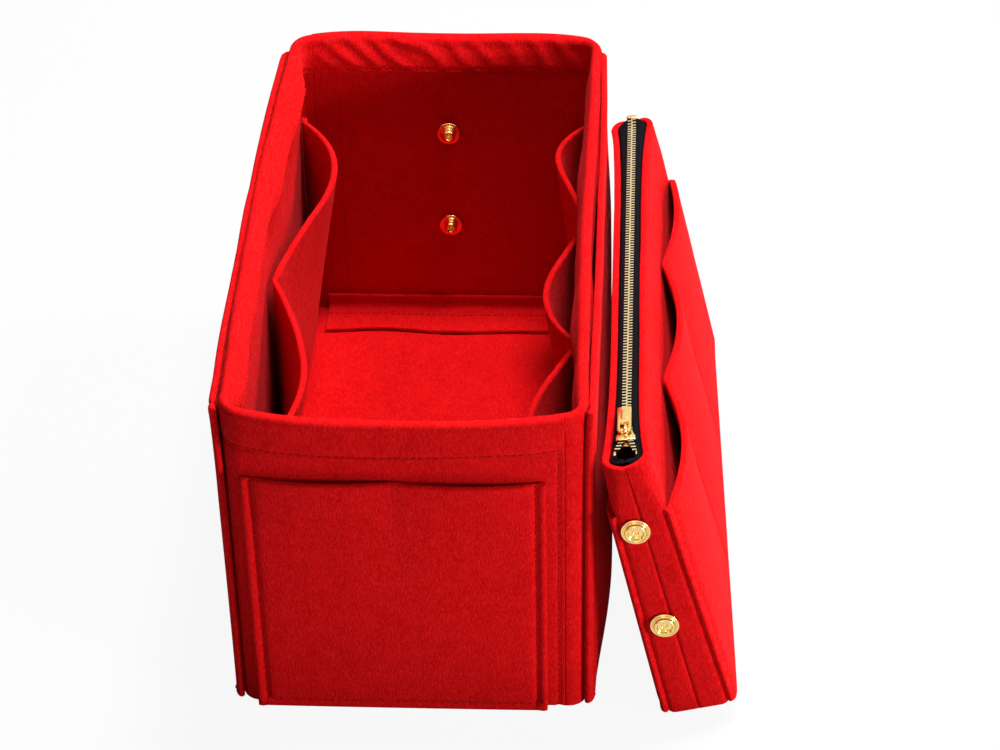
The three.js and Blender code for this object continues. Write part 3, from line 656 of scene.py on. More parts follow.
def plate(name, outline, low_z, high_z, bevel, place, material, window=None, steps=3, smooth=PLATE_SMOOTH):
    """A flat plate with eased edges, from its outline, with an optional window through it.

    Steps says how many faces round an edge off, and smooth up to which angle in degrees faces shade as one.
    """
    shape = bmesh.new()
    loops = [outline] + ([window] if window else [])
    for loop in loops:
        corners = [shape.verts.new((x, y, low_z)) for x, y in loop]
        for first, second in zip(corners, corners[1:] + corners[:1]):
            shape.edges.new((first, second))
    bmesh.ops.triangle_fill(shape, use_beauty=True, edges=shape.edges[:])
    bmesh.ops.dissolve_limit(shape, angle_limit=FLAT_ANGLE, verts=shape.verts[:], edges=shape.edges[:])
    raised = bmesh.ops.extrude_face_region(shape, geom=shape.faces[:])
    moved = [v for v in raised["geom"] if isinstance(v, bmesh.types.BMVert)]
    bmesh.ops.translate(shape, verts=moved, vec=(0, 0, high_z - low_z))
    bmesh.ops.recalc_face_normals(shape, faces=shape.faces[:])
    sharp = [e for e in shape.edges if e.calc_face_angle(0) > SHARP_ANGLE]
    bmesh.ops.bevel(
        shape, geom=sharp, offset=bevel, segments=steps, profile=0.5, affect="EDGES", clamp_overlap=True
    )
    bmesh.ops.triangulate(shape, faces=[f for f in shape.faces if len(f.verts) > 4])
    bmesh.ops.recalc_face_normals(shape, faces=shape.faces[:])
    shape.transform(place)
    mesh = bpy.data.meshes.new(name)
    shape.to_mesh(mesh)
    shape.free()
    mesh.shade_smooth()
    mesh.set_sharp_from_angle(angle=math.radians(smooth))
    mesh.materials.append(material)
    return linked(name, mesh)


def joined(name, *objects):
    """The objects as one, under that name."""
    shape = bmesh.new()
    for part in objects:
        shape.from_mesh(part.data)
    mesh = bpy.data.meshes.new(name)
    shape.to_mesh(mesh)
    shape.free()
    mesh.materials.append(objects[0].data.materials[0])
    for part in objects:
        bpy.data.objects.remove(part)
    return linked(name, mesh)


def settle(made):
    """Makes what the object's modifiers give its own plain mesh."""
    bpy.context.view_layer.update()
    evaluated = made.evaluated_get(bpy.context.evaluated_depsgraph_get())
    mesh = bpy.data.meshes.new_from_object(evaluated)
    made.modifiers.clear()
    made.data = mesh
    return made


POUCH_TWIST = 7 * MM


def into_pouch(points):
    """Points of the upright pouch, carried to where it leans. It leans a little less at its far end."""
    points = np.asarray(points)
    far_share = (points[..., 1] - POUCH_FLOOR[0][1]) / (POUCH_FLOOR[1][1] - POUCH_FLOOR[0][1])
    below = 1 - points[..., 2] / (POUCH_SHELL[1][2] - POUCH_SHELL[0][2])
    carried = points @ np.array(POUCH_TURN).T + np.array(POUCH_ORIGIN)
    carried[..., 0] -= POUCH_TWIST * capped(far_share) * capped(below)
    return carried


def carry_into_pouch(made):
    """Carries a mesh of the upright pouch to where it leans."""
    points = np.empty(3 * len(made.data.vertices), np.float32)
    made.data.vertices.foreach_get("co", points)
    made.data.vertices.foreach_set("co", into_pouch(points.reshape(-1, 3)).astype(np.float32).ravel())
    made.data.update()


RUNS = {"tub": [], "pouch": []}
STITCH_STEP = 1 * MM


def sew_up(body, felt, line, start, end, back=False):
    """Notes a line of stitches along a sheet's second measure, at one place on its first."""
    run = np.arange(start, end, STITCH_STEP)
    RUNS[body].append(felt.run(np.full_like(run, line), run, back))


def sew_across(body, felt, start, end, line, back=False):
    """Notes a line of stitches along a sheet's first measure, at one place on its second."""
    run = np.arange(start, end, STITCH_STEP)
    RUNS[body].append(felt.run(run, np.full_like(run, line), back))


def declare_sheet(made, felt, body, nodes=()):
    """Attaches a piece to what it rides on and hides the solids it stands for. It measures the flat size of
    its sheet, but keeps it nowhere.
    """
    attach(made, body)
    if nodes:
        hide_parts(*nodes)
    flat, area = felt.flat_size()


def felt_piece(name, felt, body, finish):
    """A finished felt piece that stands for the solid of its name."""
    made = new_object(name, *felt.faces(), red_felt(finish))
    declare_sheet(made, felt, body, [name])


# Tub shape

BOW_FULLNESS = 4
BOW_RISE = 2.0
SIDE_BOW = {"left": 2.8 * MM, "right": -2.2 * MM}
BOW_SKEW = {"left": 1.0, "right": 1.5}
SWAY_CALM = 30 * MM
SWAY_FOOT = 50 * MM
SWAY_SPACING = 55 * MM
FINE_SWAY = 0.35
FINE_SWAY_SPACING = 21 * MM
SIDES = {"near": 0, "right": 1, "far": 2, "left": 3}
ENDS = (("near", -1), ("far", 1))
LONG_SIDES = (("left", -1), ("right", 1))


def seam_inset(tub):
    """How far a corner's seam stands from the tub's outer corner."""
    return tub.corner + tub.seam_return


def soften(tub, x, y, z):
    """Moves points of the straight tub to where its bowed ends carry them."""
    across = np.maximum(0, 1 - np.abs(2 * x / tub.width) ** BOW_FULLNESS)
    bow = tub.bow * across * (np.maximum(0, z) / tub.height) ** BOW_RISE
    near_end = capped(np.abs(y) / (tub.length / 2 - seam_inset(tub)))
    return x, y + np.sign(y) * bow * smooth_step(near_end), z


def quarter_turn(x, y, quarters):
    """A point turned about the tub's middle by quarters of a turn."""
    return ((x, y), (-y, x), (-x, -y), (y, -x))[quarters]


class Side:
    """One side of the tub: from its upright seam, along its face and round its left corner."""

    def __init__(self, tub, name):
        self.tub, self.name, self.quarters = tub, name, SIDES[name]
        self.is_end = name in ("near", "far")
        self.kind = "end" if self.is_end else "side"
        self.wall = f"{name}_{self.kind}_wall"
        self.half_along = (tub.width if self.is_end else tub.length) / 2
        self.half_across = (tub.length if self.is_end else tub.width) / 2
        self.start = self.half_along - seam_inset(tub) - tub.gap
        self.straight = self.start + self.half_along - tub.corner
        self.total = self.straight + tub.corner * math.pi / 2 + tub.seam_return
        self.seed = 11 * (self.quarters + 1)

    def place(self, s, depth, z):
        """The point at a way along the side, a depth inside its outer face and a height."""
        tub = self.tub
        angle = np.clip((s - self.straight) / tub.corner, 0, math.pi / 2)
        back = np.maximum(0, s - self.straight - tub.corner * math.pi / 2)
        x = self.start - np.minimum(s, self.straight) - (tub.corner - depth) * np.sin(angle)
        y = back - self.half_across + tub.corner - (tub.corner - depth) * np.cos(angle)
        x, y = quarter_turn(x, y, self.quarters)
        return soften(tub, x, y, z)

    def sway(self, s, z):
        """How far the soft panel stands from its plain shape: nothing at its seam, foot and corner."""
        calm = capped(s / SWAY_CALM) * capped((self.straight - s) / SWAY_CALM) * capped(z / SWAY_FOOT)
        waves = soft_noise(s, z, SWAY_SPACING, self.seed)
        waves = waves + FINE_SWAY * soft_noise(s, z, FINE_SWAY_SPACING, self.seed + 1)
        return self.tub.sway * calm * waves - self.bow(s, z)

    def bow(self, s, z):
        """How far a long side stands out towards its rim, below zero where it stands in."""
        if self.is_end:
            return 0.0 * s
        middle = np.sin(math.pi * capped(s / self.straight) ** BOW_SKEW[self.name])
        return SIDE_BOW[self.name] * middle * capped(z / self.tub.height) ** BOW_RISE

    def rim_sag(self, s, z):
        """How far the middle of an end's rim hangs below its corners."""
        if not self.is_end:
            return 0.0 * s
        middle = np.sin(math.pi * capped(s / self.straight)) ** 2
        return RIM_SAG * middle * capped(z / self.tub.height) ** 3

    def hem_wander(self, s):
        """How unevenly the rim strip's hem runs."""
        return HEM_WANDER * soft_noise(s, 0 * s, HEM_SPACING, self.seed + 2)


GRID = 2.2 * MM
FLOOR_GRID = 3 * MM
SEAM_ROUNDING = (0.2, 0.2, 0.4, 0.4)
SEAM_CLOSED = 1.02
RIM_SAG = 1.6 * MM
HEM_WANDER = 1.1 * MM
HEM_SPACING = 45 * MM


def groove(across, lines, along, span, depth, reach=1.3 * MM):
    """How far stitched lines draw a sheet in, from one end of their span to the other."""
    inside = capped((along - span[0]) / MM + 0.5) * capped((span[-1] - along) / MM + 0.5)
    return depth * inside * sum(bump_at(across - line, reach) for line in lines)


# Walls and floor

STUD_HEIGHTS = {"lower": 53.8 * MM, "upper": 105.8 * MM}
STUD_DIMPLE = 8 * MM
STUD_DIMPLE_DEPTH = 0.5 * MM
BOTTOM_PRESS = 0.1 * MM
BOTTOM_RIPPLE = 0.12 * MM
BOTTOM_SPACING, BOTTOM_SEED = 30 * MM, 5
WALL_SEAM = 2.2 * MM
WALL_SEAM_DEPTH = 0.6 * MM
WALL_SEAM_REACH = 1.3 * MM
WALL_TOP_THIN = 0.5 * MM
WALL_TOP_REACH = 8 * MM
UNDER_HEM = 0.9 * MM
HEM_EDGE = 1.5 * MM
HEM_GROOVE = 0.8 * MM
HEM_GROOVE_REACH = 1.4 * MM
HEM_GROOVE_INSET = 4 * MM


def build_walls(tub, finish):
    """The bottom panel, pressed against the walls that are sewn to it, and the four walls."""
    felt = tub.felt
    half_x = tub.width / 2 - felt + BOTTOM_PRESS
    half_y = tub.length / 2 - felt + BOTTOM_PRESS

    def floor(x, y):
        return x, y, felt / 2 + BOTTOM_RIPPLE * soft_noise(x, y, BOTTOM_SPACING, BOTTOM_SEED)

    bottom = Felt(places(-half_x, half_x, FLOOR_GRID), places(-half_y, half_y, FLOOR_GRID), floor, felt, 1)
    felt_piece("bottom_panel", bottom, "tub", finish)

    top = tub.height - 2 * tub.strip
    hem = tub.height - tub.band
    for name in SIDES:
        side = Side(tub, name)

        def place(s, z):
            return side.place(s, felt / 2 + side.sway(s, z), z - side.rim_sag(s, z))

        s = places(-SEAM_CLOSED * tub.gap, side.total, GRID, [WALL_SEAM])
        z = places(0, top, GRID, [hem - HEM_EDGE, hem + HEM_EDGE] if side.is_end else ())
        along, up = np.meshgrid(s, z, indexing="ij")
        slim = WALL_SEAM_DEPTH * bump_at(along - WALL_SEAM, WALL_SEAM_REACH)
        slim = slim + WALL_TOP_THIN * capped(1 - (top - up) / WALL_TOP_REACH)
        if side.is_end:
            under_hem = hem + side.hem_wander(along) - UNDER_HEM
            hem_span = (HEM_GROOVE_INSET, side.total - HEM_GROOVE_INSET)
            slim = slim + groove(up, [under_hem], along, hem_span, HEM_GROOVE, HEM_GROOVE_REACH)
            for height in STUD_HEIGHTS.values():
                from_stud = np.hypot(along - side.start, up - height)
                slim = slim + STUD_DIMPLE_DEPTH * bump_at(from_stud, STUD_DIMPLE)
        wall = Felt(s, z, place, felt, -1, slim, SEAM_ROUNDING)
        felt_piece(side.wall, wall, "tub", finish)
        sew_up("tub", wall, WALL_SEAM, 2 * MM, tub.height - 3 * MM)
        if side.is_end:
            sew_pocket_outline(tub, side, wall)


END_POCKET_MARGIN = 7.5 * MM
END_POCKET_SEAM = 4.2 * MM
END_POCKET_FOOT_INSIDE = 4.5 * MM


def end_pocket_span(tub):
    """Where an end pocket starts and ends across the tub, seen from outside."""
    return -tub.width / 2 + END_POCKET_MARGIN, tub.width / 2 - seam_inset(tub) - END_POCKET_MARGIN


def sew_pocket_outline(tub, side, wall):
    """The end pocket's stitches, where they come out on the wall's inside."""
    left, right = end_pocket_span(tub)
    inset = END_POCKET_SEAM
    for x in (left + inset, right - inset):
        sew_up("tub", wall, side.start - x, 4 * MM, tub.end_pocket, back=True)
    start, end = side.start - right + inset, side.start - left - inset
    sew_across("tub", wall, start, end, END_POCKET_FOOT_INSIDE, back=True)


FLOOR_STRIP = 21 * MM
FLOOR_STRIP_THIN = 0.7
FLOOR_STRIP_BEND = 3 * MM
FLOOR_STRIP_RISE = 5 * MM
FLOOR_STRIP_INSET = 5 * MM
FLOOR_STRIP_RIPPLE = 0.5 * MM
FLOOR_STRIP_WANDER = 1.2 * MM
FLOOR_STRIP_ROW = 0.62 * FLOOR_STRIP
FLOOR_STRIP_SEED = 31


def build_floor_strips(tub, finish):
    """The ends' felt turned in on the floor, and sewn down."""
    thickness = FLOOR_STRIP_THIN * tub.felt
    bend = FLOOR_STRIP_BEND
    half = tub.width / 2 - 2 * tub.felt - FLOOR_STRIP_INSET
    inside = tub.length / 2 - tub.felt - tub.gap - thickness / 2
    floor = tub.felt + tub.gap / 2 + thickness / 2
    flat = FLOOR_STRIP - bend
    quarter = bend * math.pi / 2
    for name, way in ENDS:

        def place(x, p):
            angle = np.clip((p - flat) / bend, 0, math.pi / 2)
            out = inside - FLOOR_STRIP + np.minimum(p, flat) + bend * np.sin(angle)
            up = floor + bend * (1 - np.cos(angle)) + np.maximum(0, p - flat - quarter)
            ripple = FLOOR_STRIP_RIPPLE * soft_noise(x, p, 20 * MM, FLOOR_STRIP_SEED) * (p < flat)
            edge = FLOOR_STRIP_WANDER * soft_noise(x, 0 * x, 35 * MM, FLOOR_STRIP_SEED + 2 + way)
            edge = edge * capped(1 - p / flat)
            return x, way * (out + edge), up + np.abs(ripple)

        x = places(-half, half, 2.5 * MM)
        p = places(0, flat + quarter + FLOOR_STRIP_RISE, 1.5 * MM)
        strip = Felt(x, p, place, thickness, way)
        made = new_object(f"{name}_floor_strip", *strip.faces(), red_felt(finish))
        declare_sheet(made, strip, "tub")
        sew_across("tub", strip, -half + 2 * MM, half - 2 * MM, FLOOR_STRIP_ROW)


# Rim

RIM_ROLL = ((1.2, 0.7), (0.5, 2.2), (0.6, 5.2), (0.2, 8.0), (0, 11))
RIM_LAP = ((0, 7), (0, 4), (0.4, 1.2), (1.7, 0))
RIM_LIFT = 0.3 * MM
RIM_ROUNDING = (0.3, 0.3, 0.1, 0.1)
RIM_ROW_INSET = 1.2 * MM
RIM_ROW_DEPTH = 0.5 * MM
RIM_ROW_REACH = 1.1 * MM
RIM_CALM = 15 * MM
HEM_OFF = {"end": 3.4 * MM, "side": 3.2 * MM}
OUTER_HEM_OFF = 1.9 * MM
INNER_PUCKER = 0.25 * MM
OUTER_PUCKER = 0.35 * MM
PUCKER_SPACING = 11 * MM
PUCKER_SLANT, PUCKER_SQUEEZE = 0.9, 0.25
WRINKLE = 14 * MM
WRINKLE_DEPTH = {"end": 1.35 * MM, "side": 0.25 * MM}
WRINKLE_SLANT = 1.1
WRINKLE_STRAY = 4.0
PATCH_MEAN, PATCH_SPREAD = 0.6, 0.9
HEM_MEAN, HEM_SPREAD = 0.8, 0.5
CORNER_TUCK = 0.9 * MM
THIN_LAP = 0.15 * MM


class Profile:
    """A rim strip's section: pairs of depth and height, with the corners cut away."""

    def __init__(self, pairs, rounds=3):
        line = np.asarray(pairs, float)
        for _ in range(rounds):
            first, second = line[:-1], line[1:]
            cut = np.stack([0.75 * first + 0.25 * second, 0.25 * first + 0.75 * second], 1)
            line = np.concatenate([line[:1], cut.reshape(-1, 2), line[-1:]])
        steps = np.linalg.norm(np.diff(line, axis=0), axis=1)
        self.line = line
        self.ways = np.concatenate([[0], np.cumsum(steps)])
        self.total = self.ways[-1]
        self.crown = self.ways[np.argmax(line[:, 1])]

    def at(self, p):
        """The depth and height at a way along the section."""
        return np.interp(p, self.ways, self.line[:, 0]), np.interp(p, self.ways, self.line[:, 1])

    def outer(self, p):
        """0 from the crown inwards, and 1 at the outer hem."""
        return capped((self.crown - p) / self.crown)

    def inner(self, p):
        """0 from the crown outwards, and 1 at the inner hem."""
        return capped((p - self.crown) / (self.total - self.crown))


def rim_profile(tub, is_end):
    """The strip's section: a roll over the rim, down to a hem inside, and at the ends to one outside."""
    outer = -tub.gap - tub.strip / 2
    inner = tub.felt + tub.gap + tub.strip / 2
    top = tub.height - tub.strip / 2 + RIM_LIFT
    hem = tub.height - tub.band
    inside = [(inner - in_by * MM, top - down * MM) for in_by, down in RIM_ROLL] + [(inner, hem)]
    if is_end:
        out = [(outer, hem)] + [(outer + in_by * MM, top - down * MM) for in_by, down in reversed(RIM_ROLL)]
        return Profile(out + [(tub.felt / 2, top)] + inside)
    return Profile([(in_by * MM, top - down * MM) for in_by, down in RIM_LAP] + inside)


def build_rim(tub, finish):
    """The strips over the rim: hemmed on both faces at the ends, and thin outside along the sides."""
    for name in SIDES:
        side = Side(tub, name)
        profile = rim_profile(tub, side.is_end)
        crown = profile.crown

        def round_corner(s):
            return capped((s - side.straight) / tub.corner)

        def place(p, s):
            depth, z = profile.at(p)
            inner, outer = profile.inner(p), profile.outer(p)
            calm = capped(s / RIM_CALM) * capped((side.straight - s) / RIM_CALM)
            z = z + side.hem_wander(s) * (inner**2 + outer**2)
            slanted, squeezed = s + PUCKER_SLANT * p, PUCKER_SQUEEZE * p
            pull = np.abs(soft_noise(slanted, squeezed, PUCKER_SPACING, side.seed + 3))
            slant = 2 * math.pi * (s - WRINKLE_SLANT * (p - crown)) / WRINKLE
            slant = slant + WRINKLE_STRAY * soft_noise(s, p, 20 * MM, side.seed + 6)
            patch = capped(PATCH_MEAN + PATCH_SPREAD * soft_noise(s, p, 30 * MM, side.seed + 7))
            wrinkle = WRINKLE_DEPTH[side.kind] * patch * np.maximum(0, np.sin(slant)) ** 1.5
            uneven = HEM_MEAN + HEM_SPREAD * soft_noise(s, 0 * s, 30 * MM, side.seed + 4)
            off = HEM_OFF[side.kind] * inner**1.3 * uneven
            off = off + (INNER_PUCKER * pull + wrinkle) * np.sin(math.pi * inner) ** 0.7
            off = off - OUTER_PUCKER * pull * np.sin(math.pi * outer) - OUTER_HEM_OFF * uneven * outer**4
            tuck = CORNER_TUCK * round_corner(s) * np.sqrt(outer) if side.is_end else 0
            depth = depth + side.sway(s, z) + calm * off + tuck
            return side.place(s, depth, z - side.rim_sag(s, z))

        rows = [profile.total - RIM_ROW_INSET]
        if side.is_end:
            rows = [RIM_ROW_INSET] + rows
        p = places(0, profile.total, 1.0 * MM, rows)
        s = places(-SEAM_CLOSED * tub.gap, side.total, GRID)
        across, along = np.meshgrid(p, s, indexing="ij")
        thin = profile.outer(across)
        if side.is_end:
            thin = round_corner(along) * np.sqrt(thin)
        slim = (tub.strip / 2 - THIN_LAP) * thin
        slim = slim + sum(RIM_ROW_DEPTH * bump_at(across - row, RIM_ROW_REACH) for row in rows)
        strip = Felt(p, s, place, tub.strip, 1, slim, RIM_ROUNDING)
        piece = f"{name}_rim_{'binding' if side.is_end else 'facing'}"
        felt_piece(piece, strip, "tub", finish)
        for row in rows:
            sew_up("tub", strip, row, 1.5 * MM, side.total - 1.5 * MM)


# Pockets outside

END_POCKET_BELLY = 1.0 * MM
END_POCKET_CREST = 2.0 * MM
END_POCKET_UNEVEN = 0.8 * MM
END_POCKET_LOBES = 0.82
LOBE_INSET = 0.04
END_POCKET_SEAM_GROOVE = (1.2 * MM, 1.6 * MM)
END_POCKET_FOOT_DEPTH = 0.6 * MM
END_POCKET_EDGE = 1.8 * MM
END_POCKET_EDGE_SWELL = (0.45 * MM, 1.4 * MM)
FULL_HEIGHT = 1.0


def build_end_pockets(tub, finish):
    """The pockets on the ends, sewn at the foot and both sides, whose mouths stand open in two lobes."""
    left, right = end_pocket_span(tub)
    for name, _ in ENDS:
        side = Side(tub, name)

        def place(x, z):
            part = (x - left) / (right - left)
            rise = capped(z / tub.end_pocket)
            middle = np.sin(math.pi * part)
            between_seams = capped((part - LOBE_INSET) / (1 - 2 * LOBE_INSET))
            lobes = np.abs(np.sin(2 * math.pi * between_seams)) ** 0.8
            lobes = END_POCKET_LOBES * lobes + (1 - END_POCKET_LOBES) * middle
            belly = END_POCKET_BELLY * np.sin(math.pi * capped(part)) ** 0.5
            belly = belly * np.sin(math.pi * rise**0.7) ** 0.7
            gape = tub.gape * lobes * rise**4 + belly
            crest = END_POCKET_UNEVEN * soft_noise(x, 0 * x, 40 * MM, side.seed + 5)
            crest = crest + END_POCKET_CREST * middle
            wave = side.sway(side.start - x, z)
            y = -tub.length / 2 - tub.gap - tub.felt / 2 - gape + wave
            return soften(tub, *quarter_turn(x, y, side.quarters), z + crest * rise**3)

        foot = END_POCKET_SEAM
        seams = (left + foot, right - foot)
        edges = (left + END_POCKET_EDGE, right - END_POCKET_EDGE)
        x = places(left, right, GRID, seams)
        z = places(0, tub.end_pocket, GRID, [foot])
        across, up = np.meshgrid(x, z, indexing="ij")
        slim = groove(across, seams, up, (foot, FULL_HEIGHT), *END_POCKET_SEAM_GROOVE)
        slim = slim - groove(across, edges, up, (0, FULL_HEIGHT), *END_POCKET_EDGE_SWELL)
        slim = slim + groove(up, [foot], across, seams, END_POCKET_FOOT_DEPTH)
        pocket = Felt(x, z, place, tub.felt, 1, slim)
        felt_piece(f"{name}_end_pocket", pocket, "tub", finish)
        for seam in seams:
            sew_up("tub", pocket, seam, 3 * MM, tub.end_pocket - 1 * MM)
        sew_across("tub", pocket, *seams, foot)


FOOT_LIFT = 1.6 * MM
FOOT_LIFT_REACH = 5 * MM


def foot_lift(from_end, rise):
    """How far the bottom corners of a pocket panel are rounded off."""
    return FOOT_LIFT * capped(1 - from_end / FOOT_LIFT_REACH) ** 2 * (1 - rise) ** 8


def corner_drop(bend, past):
    """How far a bend of that radius falls back, at a way past its start."""
    return bend - np.sqrt(bend**2 - past**2)


POCKET_SEAM_DEPTH = 0.6 * MM
POCKET_FOOT_DEPTH = 0.5 * MM
OUTER_POCKET_GRID = 2.6 * MM
OUTER_POCKET_ROUNDING = (0.4, 0.4, 0.4, 0.5)
OUTER_POCKET_SEAM = 5 * MM
OUTER_POCKET_OFF = 0.5 * MM
OUTER_POCKET_FALL = 5 * MM
OUTER_POCKET_FALL_REACH = 18 * MM
OUTER_POCKET_RISE = 4 * MM
OUTER_POCKET_BOW = {"left": 3.2 * MM, "right": 0.9 * MM}
OUTER_POCKET_BELLY = {"left": 0.5 * MM, "right": 7.0 * MM}
OUTER_POCKET_BELLY_FAR = 0.3
OUTER_POCKET_BELLY_TOP = 118 * MM
OUTER_POCKET_BELLY_REACH = 32 * MM
OUTER_POCKET_SPLAY = {"left": 1.3 * MM, "right": 0.0}
OUTER_POCKET_WRAP = 0.85
OUTER_POCKET_WRAP_LOST = 0.75
OUTER_POCKET_WAVE = 0.6 * MM
OUTER_POCKET_UNEVEN = 0.9 * MM
OUTER_POCKET_CALM = 20 * MM
OUTER_POCKET_SEEDS = {"left": 83, "right": 71}


def build_outer_pockets(tub, finish):
    """The full-height layers outside the long sides, which hug the corners and bulge low down."""
    middle = tub.width / 2 + OUTER_POCKET_OFF + tub.felt / 2
    bend = tub.corner + OUTER_POCKET_OFF + tub.felt / 2
    for name, way in LONG_SIDES:
        node_name = f"{name}_outer_pocket"
        half, top = high(node_name)[1], high(node_name)[2] + OUTER_POCKET_RISE
        seed = OUTER_POCKET_SEEDS[name]

        def place(y, z):
            rise = capped(z / top)
            from_end = half - np.abs(y)
            arch = np.cos(math.pi / 2 * np.clip(y / half, -1, 1))
            bow = OUTER_POCKET_BOW[name] * arch * rise**BOW_RISE
            low_part = np.sin(math.pi * capped(z / OUTER_POCKET_BELLY_TOP)) ** 0.8
            inward = smooth_step(capped(from_end / OUTER_POCKET_BELLY_REACH))
            nearer = (1 + OUTER_POCKET_BELLY_FAR - (1 - OUTER_POCKET_BELLY_FAR) * y / half) / 2
            bow = bow + OUTER_POCKET_BELLY[name] * nearer * inward * low_part
            calm = capped(from_end / OUTER_POCKET_CALM)
            wave = OUTER_POCKET_WAVE * calm * rise * soft_noise(y, z, 50 * MM, seed)
            far = capped((y - half) / OUTER_POCKET_FALL_REACH + 1)
            crest = OUTER_POCKET_UNEVEN * rise**4 * soft_noise(y, 0 * y, 45 * MM, seed + 1)
            crest = crest - OUTER_POCKET_FALL * rise**4 * far**2 + foot_lift(from_end, rise)
            past = np.clip(np.abs(y) - tub.length / 2 + tub.corner, 0, None)
            wrap = OUTER_POCKET_WRAP - OUTER_POCKET_WRAP_LOST * rise**10 * (y < 0)
            splay = OUTER_POCKET_SPLAY[name] * (1 - arch) * rise**2 - OUTER_POCKET_OFF * rise**4
            splay = splay - wrap * corner_drop(bend, past)
            return way * (middle + bow + np.abs(wave) + splay), y, z + crest

        foot = OUTER_POCKET_SEAM
        seams = (-half + foot, half - foot)
        y = places(-half, half, OUTER_POCKET_GRID, seams)
        z = places(0, top, OUTER_POCKET_GRID, [foot])
        along, up = np.meshgrid(y, z, indexing="ij")
        slim = groove(along, seams, up, (foot, FULL_HEIGHT), POCKET_SEAM_DEPTH)
        slim = slim + groove(up, [foot], along, seams, POCKET_FOOT_DEPTH)
        pocket = Felt(y, z, place, tub.felt, way, slim, OUTER_POCKET_ROUNDING)
        felt_piece(node_name, pocket, "tub", finish)
        for seam in seams:
            sew_up("tub", pocket, seam, 3 * MM, top - 2 * MM)
        sew_across("tub", pocket, *seams, foot)


# Pockets with bays


def bay_tree():
    """Moves a flat pocket panel off its wall by the rule of its bays."""
    tree = bpy.data.node_groups.get("pocket_bays")
    if tree:
        return tree
    names = ("Length", "Foot", "Top", "Bays", "Bulge", "Fullness", "Nearer", "Ends", "Lean", "Far Lean")
    numbers = [(name, "Float") for name in names]
    tree, given = new_tree("pocket_bays", [("Panel", "Geometry"), *numbers, ("Finish", "Material")])
    point = position(tree)
    along = clamped(tree, plus(tree, math_of(tree, "DIVIDE", point["Y"], given["Length"]), 0.5))
    bay = times(tree, along, given["Bays"])
    part = math_of(tree, "FRACT", bay)
    in_far_bay = math_of(tree, "GREATER_THAN", bay, math_of(tree, "SUBTRACT", given["Bays"], 1.0))
    lean = times(tree, math_of(tree, "SUBTRACT", given["Far Lean"], given["Lean"]), in_far_bay)
    lean = plus(tree, lean, given["Lean"])
    inside = times(tree, part, math_of(tree, "SUBTRACT", 1.0, part))
    part = plus(tree, part, times(tree, lean, inside))
    arch = math_of(tree, "ABSOLUTE", math_of(tree, "SINE", times(tree, part, math.pi)))
    arch = math_of(tree, "POWER", arch, given["Fullness"])
    nearer = math_of(tree, "SUBTRACT", 0.5, along)
    fuller = plus(tree, times(tree, nearer, given["Ends"]), given["Nearer"])
    arch = times(tree, arch, plus(tree, times(tree, fuller, nearer), 1.0))
    span = math_of(tree, "SUBTRACT", given["Top"], given["Foot"])
    rise = math_of(tree, "DIVIDE", math_of(tree, "SUBTRACT", point["Z"], given["Foot"]), span)
    off = times(tree, arch, math_of(tree, "MAXIMUM", rise, 0.0), given["Bulge"])
    shift = result(tree, "ShaderNodeCombineXYZ", {"X": off})
    moved = result(tree, "GeometryNodeSetPosition", {"Geometry": given["Panel"], "Offset": shift})
    return end_tree(tree, moved, given["Finish"])


def use_tree(made, tree, values):
    """Adds the node tree to the object, with its inputs set by their identifiers."""
    modifier = made.modifiers.new(tree.name, "NODES")
    modifier.node_group = tree
    for socket in tree.interface.items_tree:
        if socket.item_type == "SOCKET" and socket.in_out == "INPUT" and socket.name in values:
            modifier[socket.identifier] = values[socket.name]
    return settle(made)


def bay_offset(y, z, values):
    """The same rule in numbers, for the stitches that follow the pocket."""
    along = capped(y / values["Length"] + 0.5)
    bay = values["Bays"] * along
    part = bay - np.floor(bay)
    lean = np.where(bay > values["Bays"] - 1, values["Far Lean"], values["Lean"])
    part = part + lean * part * (1 - part)
    arch = np.abs(np.sin(math.pi * part)) ** values["Fullness"]
    nearer = 0.5 - along
    arch = arch * (1 + (values["Nearer"] + values["Ends"] * nearer) * nearer)
    rise = np.maximum(0, (z - values["Foot"]) / (values["Top"] - values["Foot"]))
    return values["Bulge"] * arch * rise


BAY_INSET = 3.5 * MM
BAY_GRID = 2.0 * MM
BAY_FULLNESS = 0.9
BAY_HABITS = {
    "left": {"Nearer": 0.15, "Ends": 0.0, "Lean": 0.2, "Far Lean": -0.75},
    "right": {"Nearer": 0.5, "Ends": 1.0, "Lean": 0.35, "Far Lean": -0.9},
    "pouch": {"Nearer": 0.45, "Ends": 0.0, "Lean": 0.0, "Far Lean": 0.0},
}


def bay_values(half, foot, top, bays, bulge, habits, finish):
    """What the tree of a pocket's bays is given."""
    return {
        "Length": 2 * (half - BAY_INSET),
        "Foot": foot,
        "Top": top,
        "Bays": float(bays),
        "Bulge": bulge,
        "Fullness": BAY_FULLNESS,
        **BAY_HABITS[habits],
        "Finish": red_felt(finish),
    }


def bay_lines(half, bays):
    """The upright seams of a pocket with bays: its two ends and between the bays."""
    return [(half - BAY_INSET) * (2 * k / bays - 1) for k in range(bays + 1)]


def bulging(flat, values):
    """A flat panel's rule with its bays added."""

    def bulged(y, z):
        x, y, z = flat(y, z)
        return x + bay_offset(y, z, values), y, z

    return bulged


def bayed_object(name, panel, values, finish):
    """A flat panel as an object that the tree of its bays has moved."""
    flat = new_object(name, *panel.faces(), red_felt(finish))
    return use_tree(flat, bay_tree(), values)


INNER_POCKET_SEEDS = {"left": 47, "right": 41}
INNER_POCKET_FOOT = 4 * MM
INNER_POCKET_WAVE = 0.5 * MM
INNER_POCKET_UNEVEN = 1.3 * MM


